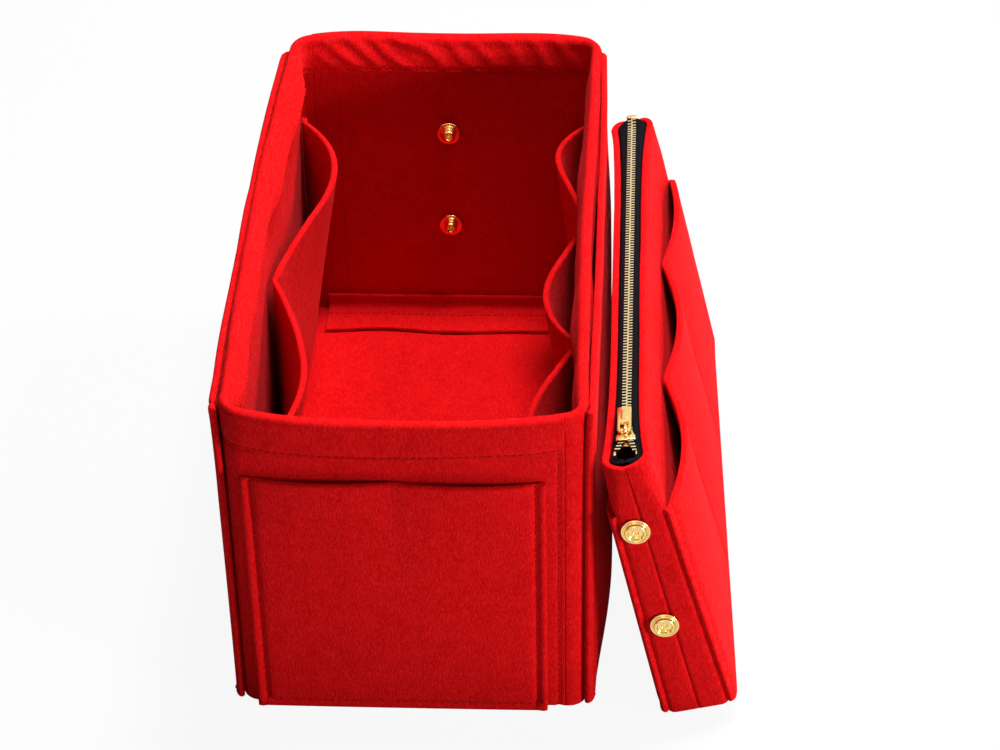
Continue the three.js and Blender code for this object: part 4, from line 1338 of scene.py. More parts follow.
def build_inner_pockets(tub, finish):
    """The gathered pockets along the long sides, which stand off in bays between their seams."""
    foot = low("left_inner_pocket")[2]
    half = high("left_inner_pocket")[1]
    top = tub.inner_pocket
    face = tub.width / 2 - tub.felt - tub.gap - tub.felt / 2
    bays_and_bulge = {"left": (tub.left_bays, tub.left_bulge), "right": (tub.right_bays, tub.right_bulge)}
    for name, way in LONG_SIDES:
        bays, bulge = bays_and_bulge[name]
        seed = INNER_POCKET_SEEDS[name]
        side = Side(tub, name)

        def flat(y, z):
            rise = capped((z - foot) / (top - foot))
            wave = INNER_POCKET_WAVE * rise * soft_noise(y, z, 35 * MM, seed)
            crest = INNER_POCKET_UNEVEN * rise**4 * soft_noise(y, 0 * y, 40 * MM, seed + 1)
            bow = np.minimum(0, side.bow(side.start - way * y, z))
            return way * (face + bow - np.abs(wave)), y, z + crest

        lines = bay_lines(half, bays)
        y = places(-half, half, BAY_GRID, lines)
        z = places(foot, top, BAY_GRID)
        along, up = np.meshgrid(y, z, indexing="ij")
        slim = groove(along, lines, up, (foot + INNER_POCKET_FOOT, FULL_HEIGHT), POCKET_SEAM_DEPTH)
        values = bay_values(half, foot, top, bays, -way * bulge, name, finish)
        piece = f"{name}_inner_pocket"
        shaped = Felt(y, z, bulging(flat, values), tub.felt, -way, slim)
        made = bayed_object(piece, Felt(y, z, flat, tub.felt, -way, slim), values, finish)
        declare_sheet(made, shaped, "tub", [piece])
        for line in lines:
            sew_up("tub", shaped, line, foot + 2 * MM, top - 1 * MM)


# Snaps

SNAP_SEAT = FELT / 2 + GAP
STUD_PROFILE = (
    (0, -1.5), (1.5, -1.5), (1.5, 0), (5.8, 0), (5.8, 0.8), (4.6, 0.95), (3.6, 0.7), (2.7, 1.0),
    (2.75, 1.5), (3.2, 3.0), (3.05, 3.8), (2.4, 4.4), (1.7, 4.3), (1.4, 3.6), (1.35, 1.6), (0, 1.6),
)
STUD_CAP_PROFILE = ((0, -1.6), (3.4, -1.55), (5.2, -1.15), (6, -0.45), (6, 0), (0, 0))
SOCKET_CAP_PROFILE = ((0, -1.6), (2.1, -1.55), (3.3, -1.15), (3.8, -0.45), (3.8, 0), (0, 0))
SOCKET_PROFILE = (
    (0, -1.5), (1.6, -1.5), (1.6, 0), (6.25, 0), (6.25, 0.7), (5.9, 1.1), (5.4, 1.0), (5.1, 0.75),
    (4.8, 1.0), (4.5, 2.2), (4.1, 2.6), (3.6, 2.6), (3.25, 2.2), (3.05, 1.1), (2.7, 0.9), (1.6, 0.9),
    (1.3, 0.7), (1.15, 0.12), (0, 0.12),
)
SNAP_FILLET = 0.35 * MM


def snap_profile(pairs, away):
    """A profile in metres, from millimetres above the felt's face."""
    seated = [(radius * MM, height * MM + away * SNAP_SEAT) for radius, height in pairs]
    return filleted(seated, SNAP_FILLET)


def gold_piece(made, body, *nodes):
    """Says what a gold piece rides on, and which solids it stands for."""
    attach(made, body)
    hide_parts(*nodes)


def build_snap(stem, profile, cap_profile, place, body, finish):
    """A snap on one face of the felt, and its back cap on the other."""
    for name, pairs, away in ((stem, profile, 1), (f"{stem}_cap", cap_profile, -1)):
        made = turned_piece(name, snap_profile(pairs, away), place, gold_plate(finish))
        gold_piece(made, body, name)


def build_studs(tub, finish):
    """The studs inside the end walls, each square to the wall where it leans."""
    inner = -tub.length / 2 + tub.felt / 2
    for name, _ in ENDS:
        quarters = SIDES[name]
        for level, height in STUD_HEIGHTS.items():
            here, above, below = (soften(tub, 0.0, inner, height + step)[1] for step in (0, MM, -MM))
            x, y = quarter_turn(0.0, float(here), quarters)
            slope = math.atan2(-(above - below), 2 * MM)
            place = (
                Matrix.Translation((x, y, height))
                @ Matrix.Rotation(quarters * math.pi / 2, 4, "Z")
                @ Matrix.Rotation(slope, 4, "X")
            )
            build_snap(f"{name}_{level}_stud", STUD_PROFILE, STUD_CAP_PROFILE, place, "tub", finish)


SOCKET_HEIGHTS = {"lower": 50.5 * MM, "upper": 102.5 * MM}
SOCKET_SIDESTEP = 3.4 * MM


def build_sockets(pouch, finish):
    """The sockets on the pouch's ends, beside the seam."""
    for name, way in ENDS:
        for level, height in SOCKET_HEIGHTS.items():
            spot = into_pouch((-SOCKET_SIDESTEP, way * (pouch.length - FELT) / 2, height))
            turn = POUCH_TURN.to_4x4() @ Matrix.Rotation(0 if way > 0 else math.pi, 4, "Z")
            place = Matrix.Translation(spot) @ turn
            stem = f"pouch_{name}_{level}_socket"
            build_snap(stem, SOCKET_PROFILE, SOCKET_CAP_PROFILE, place, "pouch", finish)


# Pouch

WAIST = 6
LIP_CORNER = 9 * MM
LIP_STARTS = 112 * MM
LIP_DIP_NEAR, LIP_DIP_FAR = 0.8 * MM, 2.4 * MM
LIP_REACH_NEAR, LIP_REACH_FAR = 3.4 * MM, 4.4 * MM
SHELL_GRID = 2.0 * MM
SHELL_PUFF = 0.35 * MM
SHELL_CALM = 20 * MM
SHELL_UNEVEN = 0.5 * MM
SHELL_SEED = 91
SHELL_SEAM = 2.4 * MM
SHELL_ROUNDS = (0.3, 0.8)
SHELL_HEM = 3.2 * MM
SHELL_HEM_DEPTH, SHELL_HEM_REACH = 0.35 * MM, 1.0 * MM
SHELL_ROUNDING = (0.42, 0.42, 0.5, 0.4)


def corner_radius(pouch, z):
    """The outer radius of the ends' corners, which widens round the ends of the zip."""
    rise = capped((z - LIP_STARTS) / (pouch.height - LIP_STARTS))
    return pouch.corner + (LIP_CORNER - pouch.corner) * smooth_step(rise)


def half_width(pouch, y, z):
    """Half of the pouch's width over its shells: narrow at the top, and narrowest at the zip's middle."""
    straight = pouch.length / 2 - pouch.corner
    end_share = capped(np.abs(y) / straight) ** WAIST
    middle = pouch.mouth / 2 + FELT
    top = middle + (pouch.end_top_width / 2 - middle) * end_share
    return pouch.base_width / 2 + (top - pouch.base_width / 2) * z / pouch.height


def shell_place(pouch, way):
    """The shell's middle surface, and the ways at which its parts end.

    It runs from the near seam round a corner, along a face and round to the far seam.
    """
    end = pouch.length / 2
    straight = end - pouch.corner
    flat = pouch.end_top_width / 2 - pouch.corner
    quarter = pouch.corner * math.pi / 2
    ways = np.cumsum([flat, quarter, 2 * straight, quarter, flat])

    def place(s, z):
        corner = corner_radius(pouch, z)
        radius = corner - FELT / 2
        turn = half_width(pouch, end, z) - corner
        mirrored = s > ways[4] / 2
        t = np.where(mirrored, ways[4] - s, s)
        angle = np.clip((t - flat) / pouch.corner, 0, math.pi / 2)
        x_end = turn * capped(t / flat) + radius * np.sin(angle)
        y_end = corner - end - radius * np.cos(angle)
        spread = np.maximum(0, t - ways[1]) / straight - 1
        y_face = (end - corner) * spread
        on_face = t > ways[1]
        puff = SHELL_PUFF * soft_noise(s, z, 30 * MM, SHELL_SEED + way) * capped(t / SHELL_CALM)
        x_face = half_width(pouch, straight * spread, z) - FELT / 2
        x = np.where(on_face, x_face, x_end) + np.minimum(0, puff)
        y = np.where(on_face, y_face, y_end)
        near_dip = LIP_DIP_NEAR * bump_at(x, LIP_REACH_NEAR)
        dip = np.where(mirrored, LIP_DIP_FAR * bump_at(x, LIP_REACH_FAR), near_dip) * (t < ways[1])
        crest = SHELL_UNEVEN * soft_noise(s, 0 * s, 30 * MM, SHELL_SEED + 6 + way) - dip
        return way * x, np.where(mirrored, -y, y), z + crest * capped(z / pouch.height) ** 6

    return place, ways


def leaning(place):
    """The same surface where the pouch leans."""

    def carried(u, v):
        points = into_pouch(np.stack(np.broadcast_arrays(*place(u, v)), -1))
        return points[..., 0], points[..., 1], points[..., 2]

    return carried


def build_pouch_shells(pouch, finish):
    """The pouch's bottom, and its two shells that meet down the middle of both ends."""
    half_x = POUCH_FLOOR[1][0] / 2 - POUCH_FLOOR[0][0] / 2
    half_y = pouch.length / 2 - (FELT + GAP)

    def floor(x, y):
        return x, y, FELT / 2 + 0 * x

    across, along = places(-half_x, half_x, FLOOR_GRID), places(-half_y, half_y, FLOOR_GRID)
    bottom = Felt(across, along, leaning(floor), FELT, 1)
    felt_piece("pouch_bottom", bottom, "pouch", finish)

    hem = pouch.height - SHELL_HEM
    for name, way in LONG_SIDES:
        place, ways = shell_place(pouch, way)
        total = ways[4]
        fine = [ways[0] + part * (ways[1] - ways[0]) for part in SHELL_ROUNDS] + [SHELL_SEAM]
        s = places(0, total, SHELL_GRID, fine + [total - spot for spot in fine])
        z = places(0, pouch.height, GRID, [hem])
        along, up = np.meshgrid(s, z, indexing="ij")
        slim = groove(up, [hem], along, (ways[1], ways[2]), SHELL_HEM_DEPTH, SHELL_HEM_REACH)
        shell = Felt(s, z, leaning(place), FELT, way, slim, SHELL_ROUNDING)
        felt_piece(f"pouch_{name}_shell", shell, "pouch", finish)
        sew_across("pouch", shell, ways[1], ways[2], hem)


POUCH_POCKET_INSET = 0.5 * MM
POUCH_POCKET_SEAM = 3.2 * MM
POUCH_POCKET_WAVE = 0.3 * MM
POUCH_POCKET_UNEVEN = 0.9 * MM
POUCH_POCKET_SEED = 61
POUCH_POCKET_ROUNDING = (0.15, 0.15, 0.4, 0.4)
FAR_SAG = 15 * MM
FAR_SAG_REACH = 48 * MM
END_PRESS = 0.6 * MM


def build_pouch_pockets(pouch, finish):
    """The pouch's pockets: flat on the left and in bays on the right, with far ends that sag."""
    half = pouch.length / 2 - POUCH_POCKET_INSET
    bend = pouch.corner + GAP + FELT / 2
    foot = POUCH_POCKET_SEAM
    for name, way in LONG_SIDES:
        bulge = pouch.bulge if name == "right" else 0.0

        def flat(y, z):
            rise = capped(z / pouch.pocket)
            from_end = half - np.abs(y)
            wave = POUCH_POCKET_WAVE * rise * np.abs(soft_noise(y, z, 35 * MM, POUCH_POCKET_SEED + way))
            sag = capped((y - half + FAR_SAG_REACH) / FAR_SAG_REACH)
            uneven = soft_noise(y, 0 * y, 40 * MM, POUCH_POCKET_SEED + 6 + way)
            crest = POUCH_POCKET_UNEVEN * rise**4 * uneven
            crest = crest - FAR_SAG * rise**3 * sag**2 + foot_lift(from_end, rise)
            past = np.clip(np.abs(y) - pouch.length / 2 + pouch.corner, 0, None)
            press = (GAP + END_PRESS) * capped(1 - from_end / (2 * BAY_INSET))
            face = half_width(pouch, y, z) + GAP + FELT / 2 + wave - corner_drop(bend, past) - press
            return way * face, y, z + crest

        lines = bay_lines(half, pouch.bays if bulge else 1)
        y = places(-half, half, BAY_GRID, lines)
        z = places(0, pouch.pocket, BAY_GRID, [foot])
        along, up = np.meshgrid(y, z, indexing="ij")
        slim = groove(along, lines, up, (foot, FULL_HEIGHT), POCKET_SEAM_DEPTH)
        slim = slim + groove(up, [foot], along, lines, POCKET_FOOT_DEPTH)
        values = bay_values(half, 0.0, pouch.pocket, pouch.bays, way * bulge, "pouch", finish)
        piece = f"pouch_{name}_pocket"
        panel = Felt(y, z, flat, FELT, way, slim, POUCH_POCKET_ROUNDING)
        shaped = Felt(y, z, leaning(bulging(flat, values)), FELT, way, slim, POUCH_POCKET_ROUNDING)
        made = bayed_object(piece, panel, values, finish)
        carry_into_pouch(made)
        declare_sheet(made, shaped, "pouch", [piece])
        for line in lines:
            sew_up("pouch", shaped, line, 3 * MM, pouch.pocket - 1 * MM)
        sew_across("pouch", shaped, lines[0], lines[-1], foot)


# Zip

TAPE_LEG = 9 * MM
TAPE_EDGE = 0.75 * MM
TAPE_CORD = 0.35 * MM
CORD_SHARE = 0.16
TAPE_BEND = 1.2 * MM
TAPE_END_GAP = 0.4 * MM
TAPE_CLOSES = 130.2 * MM
TAPE_CLOSES_OVER = 0.8 * MM
TAPE_CLOSED_EDGE = 0.2 * MM
TAPE_LEAST = 0.1 * MM
TAPE_LIFT, TAPE_LIFT_REACH, TAPE_LIFT_ENDS = 1.0 * MM, 5 * MM, 1.5
TAPE_GRID = 2.5 * MM
TAPE_STEPS = np.concatenate([
    np.linspace(0, CORD_SHARE, 4),
    np.linspace(0.25, 1, 4),
    np.linspace(1, 2, 6)[1:],
    np.linspace(2, 3, 5)[1:],
])
CHAIN_ROLL = math.radians(9)
CHAIN_CLIMB = 1.2 * MM
CLIMB_SPAN = 8 * MM


def chain_place(pouch):
    """Where the chain lies: in the pouch, and rolled a little towards the level."""
    middle = Matrix.Translation((0, 0, pouch.chain_height))
    return POUCH_PLACE @ middle @ Matrix.Rotation(CHAIN_ROLL, 4, "Y") @ middle.inverted()


def chain_climb(pouch, y):
    """How far the chain's far end climbs over the lip."""
    return CHAIN_CLIMB * capped((y - pouch.chain_far) / CLIMB_SPAN + 0.5) ** 2


def row_parting(pouch, y):
    """How far a tooth row stands from the closed chain: the rows part in a V before the slider."""
    span = pouch.slider_middle - pouch.chain_near
    return pouch.spread * capped((pouch.slider_middle - y) / span)


def open_with_slider(made):
    """Gives the piece a mesh of its own."""
    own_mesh(made)


def build_tapes(pouch, finish):
    """The zip's tapes: level beside the teeth, then bent down along the inside of each shell."""
    end = pouch.length / 2 - FELT - TAPE_END_GAP
    corner = float(corner_radius(pouch, pouch.chain_height))
    inside = corner - FELT - GAP
    full_end, flat_end = pouch.length / 2 - pouch.corner, pouch.length / 2 - corner
    for name, way in LONG_SIDES:

        def place(p, y):
            past = np.clip(np.abs(y) - flat_end, 0, inside)
            wall = half_width(pouch, y * full_end / flat_end, pouch.chain_height)
            wall = wall - FELT - GAP - pouch.tape / 2 - corner_drop(inside, past)
            closed = capped((-y - TAPE_CLOSES) / TAPE_CLOSES_OVER)
            edge = (TAPE_EDGE + row_parting(pouch, y)) * (1 - closed) + TAPE_CLOSED_EDGE * closed
            level = np.maximum(wall - TAPE_BEND - edge, TAPE_LEAST)
            turn = capped(p - 1) * math.pi / 2
            leg = capped(p - 2) * (TAPE_LEG - TAPE_BEND)
            near_end = capped((-end + TAPE_LIFT_REACH - y) / TAPE_LIFT_REACH)
            lift = TAPE_LIFT * near_end**2 + chain_climb(pouch, y)
            x = edge + capped(p) * level + TAPE_BEND * np.sin(turn)
            z = pouch.chain_height - TAPE_BEND * (1 - np.cos(turn)) - leg + lift * (p < TAPE_LIFT_ENDS)
            z = z - way * edge * math.sin(CHAIN_ROLL) * (1 - capped(p))
            z = z + TAPE_CORD * (1 - capped(p / CORD_SHARE)) ** 2 * (1 - closed)
            return way * x, y, z

        fine = [side * spot for side in (-1, 1) for spot in (TAPE_CLOSES, end - 2 * MM)]
        y = places(-end, end, TAPE_GRID, fine)
        tape = Felt(TAPE_STEPS, y, leaning(place), pouch.tape, -way, rounding=(0, 0, 0, 0))
        piece = f"{name}_zip_tape"
        made = new_object(piece, *tape.faces(), black_tape(finish))
        declare_sheet(made, tape, "pouch", [piece])
        open_with_slider(made)


def tooth_tree():
    """A row of teeth along the chain, half a pitch from the other row, parting in a V at its start."""
    tree = bpy.data.node_groups.get("tooth_row")
    if tree:
        return tree
    names = ("First", "Pitch", "Height", "Slider", "Span", "Spread", "Way", "Climb", "Far", "Climb Span")
    numbers = [(name, "Float") for name in names]
    row_start = [("Start", "Geometry"), ("Tooth", "Object"), ("Count", "Int")]
    tree, given = new_tree("tooth_row", [*row_start, *numbers, ("Finish", "Material")])
    start = result(tree, "ShaderNodeCombineXYZ", {"Y": given["First"], "Z": given["Height"]})
    step = result(tree, "ShaderNodeCombineXYZ", {"Y": given["Pitch"]})
    row = {"Count": given["Count"], "Start Location": start, "Offset": step}
    line = result(tree, "GeometryNodeMeshLine", row, mode="OFFSET")
    point = position(tree)
    ahead = math_of(tree, "DIVIDE", math_of(tree, "SUBTRACT", given["Slider"], point["Y"]), given["Span"])
    aside = times(tree, clamped(tree, ahead), given["Spread"], given["Way"])
    past = math_of(tree, "DIVIDE", math_of(tree, "SUBTRACT", point["Y"], given["Far"]), given["Climb Span"])
    past = clamped(tree, plus(tree, past, 0.5))
    climb = times(tree, past, past, given["Climb"])
    shift = result(tree, "ShaderNodeCombineXYZ", {"X": aside, "Z": climb})
    parted = result(tree, "GeometryNodeSetPosition", {"Geometry": line, "Offset": shift})
    tooth = node(tree, "GeometryNodeObjectInfo", {"Object": given["Tooth"]}).outputs["Geometry"]
    turn = math_of(tree, "SUBTRACT", math.pi / 2, times(tree, given["Way"], math.pi / 2))
    turn = result(tree, "ShaderNodeCombineXYZ", {"Z": turn})
    teeth = {"Points": parted, "Instance": tooth, "Rotation": turn}
    return end_tree(tree, result(tree, "GeometryNodeInstanceOnPoints", teeth), given["Finish"])


TOOTH_OUTLINE = (
    (2.05, -0.33), (2.05, 0.33), (0.95, 0.33), (0.55, 0.30), (0.1, 0.38), (-0.4, 0.33),
    (-0.4, -0.33), (0.1, -0.38), (0.55, -0.30), (0.95, -0.33),
)
TOOTH_HEIGHT = 1.8 * MM
TOOTH_BEVEL = 0.16 * MM
TOOTH_SMOOTH = 30
TEETH_OVER_LIP = 4.6 * MM
FIRST_TOOTH = {"left": 0.75, "right": 0.25}


def in_metres(pairs):
    """An outline in metres, from millimetres."""
    return [(x * MM, y * MM) for x, y in pairs]


def build_teeth(pouch, finish):
    """The two rows of teeth, from one tooth's shape."""
    # A paler copy of the gold, as a painted highlight on the teeth.
    gold = gold_plate(finish, "teeth_gold_painted_light", tuple(finish.teeth))
    outline = in_metres(TOOTH_OUTLINE)
    half = TOOTH_HEIGHT / 2
    origin = Matrix.Identity(4)
    tooth = plate(
        "tooth_shape", outline, -half, half, TOOTH_BEVEL, origin, gold, steps=1, smooth=TOOTH_SMOOTH
    )
    for name, way in LONG_SIDES:
        first = pouch.chain_near + FIRST_TOOTH[name] * pouch.tooth_pitch
        values = {
            "Tooth": tooth,
            "Count": int((pouch.chain_far + TEETH_OVER_LIP - first) / pouch.tooth_pitch) + 1,
            "First": first,
            "Pitch": pouch.tooth_pitch,
            "Height": pouch.chain_height,
            "Slider": pouch.slider_middle,
            "Span": pouch.slider_middle - pouch.chain_near,
            "Spread": pouch.spread,
            "Way": float(way),
            "Climb": CHAIN_CLIMB,
            "Far": pouch.chain_far,
            "Climb Span": CLIMB_SPAN,
            "Finish": gold,
        }
        piece = f"{name}_tooth_row"
        row = use_tree(linked(piece, bpy.data.meshes.new(piece)), tooth_tree(), values)
        row.data.transform(chain_place(pouch))
        gold_piece(row, "pouch", piece)
        open_with_slider(row)
    bpy.data.objects.remove(tooth)


STOP_LENGTH = 2.4 * MM
STOP_HALF = 2.5 * MM
STOP_CORNER = 0.9 * MM
STOP_BEVEL = 0.4 * MM
TOP_STOP_ASIDE = 1.45 * MM
TOP_STOP_HALF = 0.62 * MM
TOP_STOP_BEVEL = 0.3 * MM


def box_outline(x, y, half_x, half_y):
    """A rectangle round a point."""
    corners = ((-1, -1), (1, -1), (1, 1), (-1, 1))
    return [(x + right * half_x, y + on * half_y) for right, on in corners]


def build_stops(pouch, finish):
    """The two top stops at the near end, and the bottom stop at the far end."""
    half = TOOTH_HEIGHT / 2
    heights = (pouch.chain_height - half, pouch.chain_height + half)
    near = pouch.chain_near - GAP - STOP_LENGTH / 2
    for name, way in LONG_SIDES:
        outline = box_outline(way * (TOP_STOP_ASIDE + pouch.spread), near, TOP_STOP_HALF, STOP_LENGTH / 2)
        piece = f"{name}_top_stop"
        stop = plate(piece, outline, *heights, TOP_STOP_BEVEL, chain_place(pouch), gold_plate(finish))
        gold_piece(stop, "pouch", piece)
    far = pouch.chain_far + TEETH_OVER_LIP + GAP + STOP_LENGTH / 2
    outline = eased(STOP_HALF, far - STOP_LENGTH / 2, far + STOP_LENGTH / 2, STOP_CORNER)
    place = chain_place(pouch) @ Matrix.Translation((0, 0, CHAIN_CLIMB))
    stop = plate("bottom_stop", outline, *heights, STOP_BEVEL, place, gold_plate(finish))
    gold_piece(stop, "pouch", "bottom_stop")


SLIDER_HALF_PLAN = ((4.0, -4.5), (4.15, -2.4), (3.3, -0.4), (2.8, 1.2), (2.7, 4.0), (2.1, 4.5))
SLIDER_CLEAR = 1.35 * MM
SLIDER_PLATE = 0.7 * MM
SLIDER_NARROW = 0.62
SLIDER_TOP_BEVEL, SLIDER_BOTTOM_BEVEL = 0.32 * MM, 0.3 * MM
SLIDER_POST = (0, -3.2 * MM, 0.5 * MM, 0.5 * MM)
SLIDER_POST_BEVEL = 0.15 * MM
SLIDER_LIP = 0.5 * MM
SLIDER_LIP_BELOW, SLIDER_LIP_ABOVE = 0.15 * MM, 0.3 * MM
SLIDER_LIP_BEVEL = 0.12 * MM
BAIL_HALF = 2.1 * MM
BAIL_CROWN = 3.2 * MM
BAIL_RADIUS = 0.55 * MM
BAIL_ROOT = 0.3 * MM
BAIL_FULLNESS = 0.6
BAIL_WIDE, BAIL_FLAT = 1.4, 0.8


def build_slider(pouch, finish):
    """The slider: two plates on a post, with lips along the upper one and a wire arch on its back."""
    gold = gold_plate(finish)
    place = chain_place(pouch) @ Matrix.Translation((0, pouch.slider_middle, 0))
    right = in_metres(SLIDER_HALF_PLAN)
    plan = right + [(-x, y) for x, y in reversed(right)]
    under, over = pouch.chain_height - SLIDER_CLEAR, pouch.chain_height + SLIDER_CLEAR
    top = plate("slider_top", plan, over, over + SLIDER_PLATE, SLIDER_TOP_BEVEL, place, gold)
    narrow = [(SLIDER_NARROW * x, y) for x, y in plan]
    bottom = plate("slider_bottom", narrow, under - SLIDER_PLATE, under, SLIDER_BOTTOM_BEVEL, place, gold)
    post = plate("slider_post", box_outline(*SLIDER_POST), under, over, SLIDER_POST_BEVEL, place, gold)
    lips = []
    for way in (-1, 1):
        edge = [(way * x, y) for x, y in right]
        inside = [(way * (abs(x) - SLIDER_LIP), y) for x, y in reversed(edge)]
        heights = (over - SLIDER_LIP_BELOW, over + SLIDER_LIP_ABOVE)
        lips.append(plate("slider_lip", edge + inside, *heights, SLIDER_LIP_BEVEL, place, gold))
    bail = bail_wire(over + SLIDER_PLATE, place, gold)
    made = joined("zip_slider", top, bottom, post, *lips, bail)
    gold_piece(made, "slider", "zip_slider")


def bail_wire(base, place, gold):
    """The wire arch on the slider's back that carries the pull tab."""
    sides, steps = 12, 18
    points, faces = [], []
    side = Vector((1, 0, 0))
    for k in range(steps + 1):
        angle = math.pi * k / steps
        y = -BAIL_HALF * math.copysign(abs(math.cos(angle)) ** BAIL_FULLNESS, math.cos(angle))
        z = base - BAIL_ROOT + (BAIL_CROWN + BAIL_ROOT) * math.sin(angle) ** BAIL_FULLNESS
        tangent = Vector((0, math.sin(angle), math.cos(angle)))
        other = tangent.cross(side)
        for j in range(sides):
            turn = 2 * math.pi * j / sides
            out = BAIL_WIDE * math.cos(turn) * side + BAIL_FLAT * math.sin(turn) * other
            points.append(place @ (Vector((0, y, z)) + BAIL_RADIUS * out))
    for k in range(steps):
        for j in range(sides):
            after = (j + 1) % sides
            faces.append((k * sides + j, k * sides + after, (k + 1) * sides + after, (k + 1) * sides + j))
    faces.append(tuple(range(sides)))
    faces.append(tuple(reversed(range(steps * sides, (steps + 1) * sides))))
    return new_object("slider_bail", points, faces, gold)


TAB_LENGTH = 15.5 * MM
TAB_HALF = 3.0 * MM
TAB_THICKNESS = 1.1 * MM
TAB_ASKEW = 4
TAB_CORNER, TAB_BEVEL = 0.9 * MM, 0.26 * MM
TAB_WINDOW = (1.7 * MM, 0.6 * MM, 5.0 * MM, 0.35 * MM)
TAB_PANEL = (1.55 * MM, 7.2 * MM, 13.6 * MM, 0.5 * MM)
TAB_PANEL_BELOW, TAB_PANEL_ABOVE = 0.1 * MM, 0.22 * MM
TAB_PANEL_BEVEL = 0.12 * MM


def eased(half, start, end, corner, steps=4):
    """A rectangle from start to end with rounded corners."""
    outline = []
    for x, y, turn in (
        (half - corner, end - corner, 0.0),
        (corner - half, end - corner, 0.5),
        (corner - half, start + corner, 1.0),
        (half - corner, start + corner, 1.5),
    ):
        for k in range(steps + 1):
            angle = math.pi * (turn + 0.5 * k / steps)
            outline.append((x + corner * math.cos(angle), y + corner * math.sin(angle)))
    return outline


def build_pull(finish):
    """The pull tab: a plate with a window for the wire arch and a raised panel, a little askew."""
    askew = Matrix.Rotation(math.radians(TAB_ASKEW), 4, "Y")
    place = POUCH_PLACE @ Matrix.Translation(TAB_AXIS) @ askew
    gold = gold_plate(finish)
    half = TAB_THICKNESS / 2
    outline = eased(TAB_HALF, -half, TAB_LENGTH, TAB_CORNER)
    tab = plate("tab", outline, -half, half, TAB_BEVEL, place, gold, eased(*TAB_WINDOW))
    heights = (half - TAB_PANEL_BELOW, half + TAB_PANEL_ABOVE)
    panel = plate("tab_panel", eased(*TAB_PANEL), *heights, TAB_PANEL_BEVEL, place, gold)
    gold_piece(joined("pull_tab", tab, panel), "pull", "pull_tab")


# Sewing

STITCH_SHORTEST, STITCH_LONGEST = 0.88, 1.06


def sewing_tree():
    """Stitches along the noted lines, each lying along its line and flat on the felt."""
    tree = bpy.data.node_groups.get("sewing_runs")
    if tree:
        return tree
    numbers = [(name, "Float") for name in ("Pitch", "Length", "Width")]
    sockets = [("Runs", "Geometry"), *numbers, ("Seed", "Int"), ("Finish", "Material")]
    tree, given = new_tree("sewing_runs", sockets)
    curves = result(tree, "GeometryNodeMeshToCurve", {"Mesh": given["Runs"]})
    spaced = {"Curve": curves, "Length": given["Pitch"]}
    spots = result(tree, "GeometryNodeResampleCurve", spaced, mode="LENGTH")
    tangent = result(tree, "GeometryNodeInputTangent")
    upward = result(tree, "GeometryNodeInputNamedAttribute", {"Name": "up"}, data_type="FLOAT_VECTOR")
    align = "FunctionNodeAlignRotationToVector"
    turn = result(tree, align, {"Vector": tangent}, axis="X")
    turn = result(tree, align, {"Rotation": turn, "Vector": upward}, axis="Z", pivot_axis="X")
    limits = {2: STITCH_SHORTEST, 3: STITCH_LONGEST, 8: given["Seed"]}
    vary = node(tree, "FunctionNodeRandomValue", limits, data_type="FLOAT").outputs[1]
    long_way = times(tree, given["Length"], 0.5, vary)
    thick = times(tree, given["Width"], 0.5)
    scale = result(tree, "ShaderNodeCombineXYZ", {"X": long_way, "Y": thick, "Z": thick})
    stitch = result(tree, "GeometryNodeMeshUVSphere", {"Segments": 6, "Rings": 5, "Radius": 1.0})
    rows = {"Points": spots, "Instance": stitch, "Rotation": turn, "Scale": scale}
    return end_tree(tree, result(tree, "GeometryNodeInstanceOnPoints", rows), given["Finish"], smooth=True)


def build_stitches(sewing, finish):
    """All stitches of a body, along the lines that were noted for it."""
    for body, runs in RUNS.items():
        points, ways, edges, count = [], [], [], 0
        for spots, upward in runs:
            points.append(spots)
            ways.append(upward)
            edges += [(count + k, count + k + 1) for k in range(len(spots) - 1)]
            count += len(spots)
        mesh = bpy.data.meshes.new(f"{body}_stitches")
        mesh.from_pydata(np.concatenate(points).tolist(), edges, [])
        upward = mesh.attributes.new("up", "FLOAT_VECTOR", "POINT")
        upward.data.foreach_set("vector", np.concatenate(ways).astype(np.float32).ravel())
        values = {
            "Pitch": sewing.pitch,
            "Length": sewing.length,
            "Width": sewing.width,
            "Seed": sewing.seed,
            "Finish": red_thread(finish),
        }
        made = use_tree(linked(f"{body}_stitches", mesh), sewing_tree(), values)
        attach(made, body)


# Stage

CAMERA_PLACE = (0.0948, -1.1168, 0.8822)
CAMERA_TURNS = (("X", 53.91), ("Y", 2.62), ("Z", 0.82))
CAMERA_LENS = 108
CAMERA_SENSOR = 36
CAMERA_CLIP = (0.05, 20)
LAMP_AIM = Vector((0.02, 0.0, 0.07))
LAMPS = (
    ("right_lamp", (0.85, 0.34, 1.05), 0.4, 17.0),
    ("top_lamp", (0.2, 0.22, 1.35), 0.35, 28.0),
    ("front_lamp", (0.95, -0.66, 0.32), 0.3, 11.5),
    ("low_lamp", (0.0, -0.95, 0.27), 0.2, 0.7),
)
AMBIENT = (0.02, 0.12)
MIRRORED = (0.05, 1.0)
WHITE = (1, 1, 1, 1)
FLOOR_HALF = 4.0
FLOOR_DROP = 0.4 * MM
FLOOR_GLOW = 0.92


def build_camera(scene):
    """A camera that stands where the photograph was taken from."""
    lens = bpy.data.cameras.new("photo_camera")
    lens.lens = CAMERA_LENS
    lens.sensor_width = CAMERA_SENSOR
    lens.sensor_fit = "HORIZONTAL"
    lens.clip_start, lens.clip_end = CAMERA_CLIP
    turn = Matrix.Identity(4)
    for axis, degrees in CAMERA_TURNS:
        turn = turn @ Matrix.Rotation(math.radians(degrees), 4, axis)
    camera = linked("photo_camera", lens)
    camera.matrix_world = Matrix.Translation(CAMERA_PLACE) @ turn
    scene.camera = camera


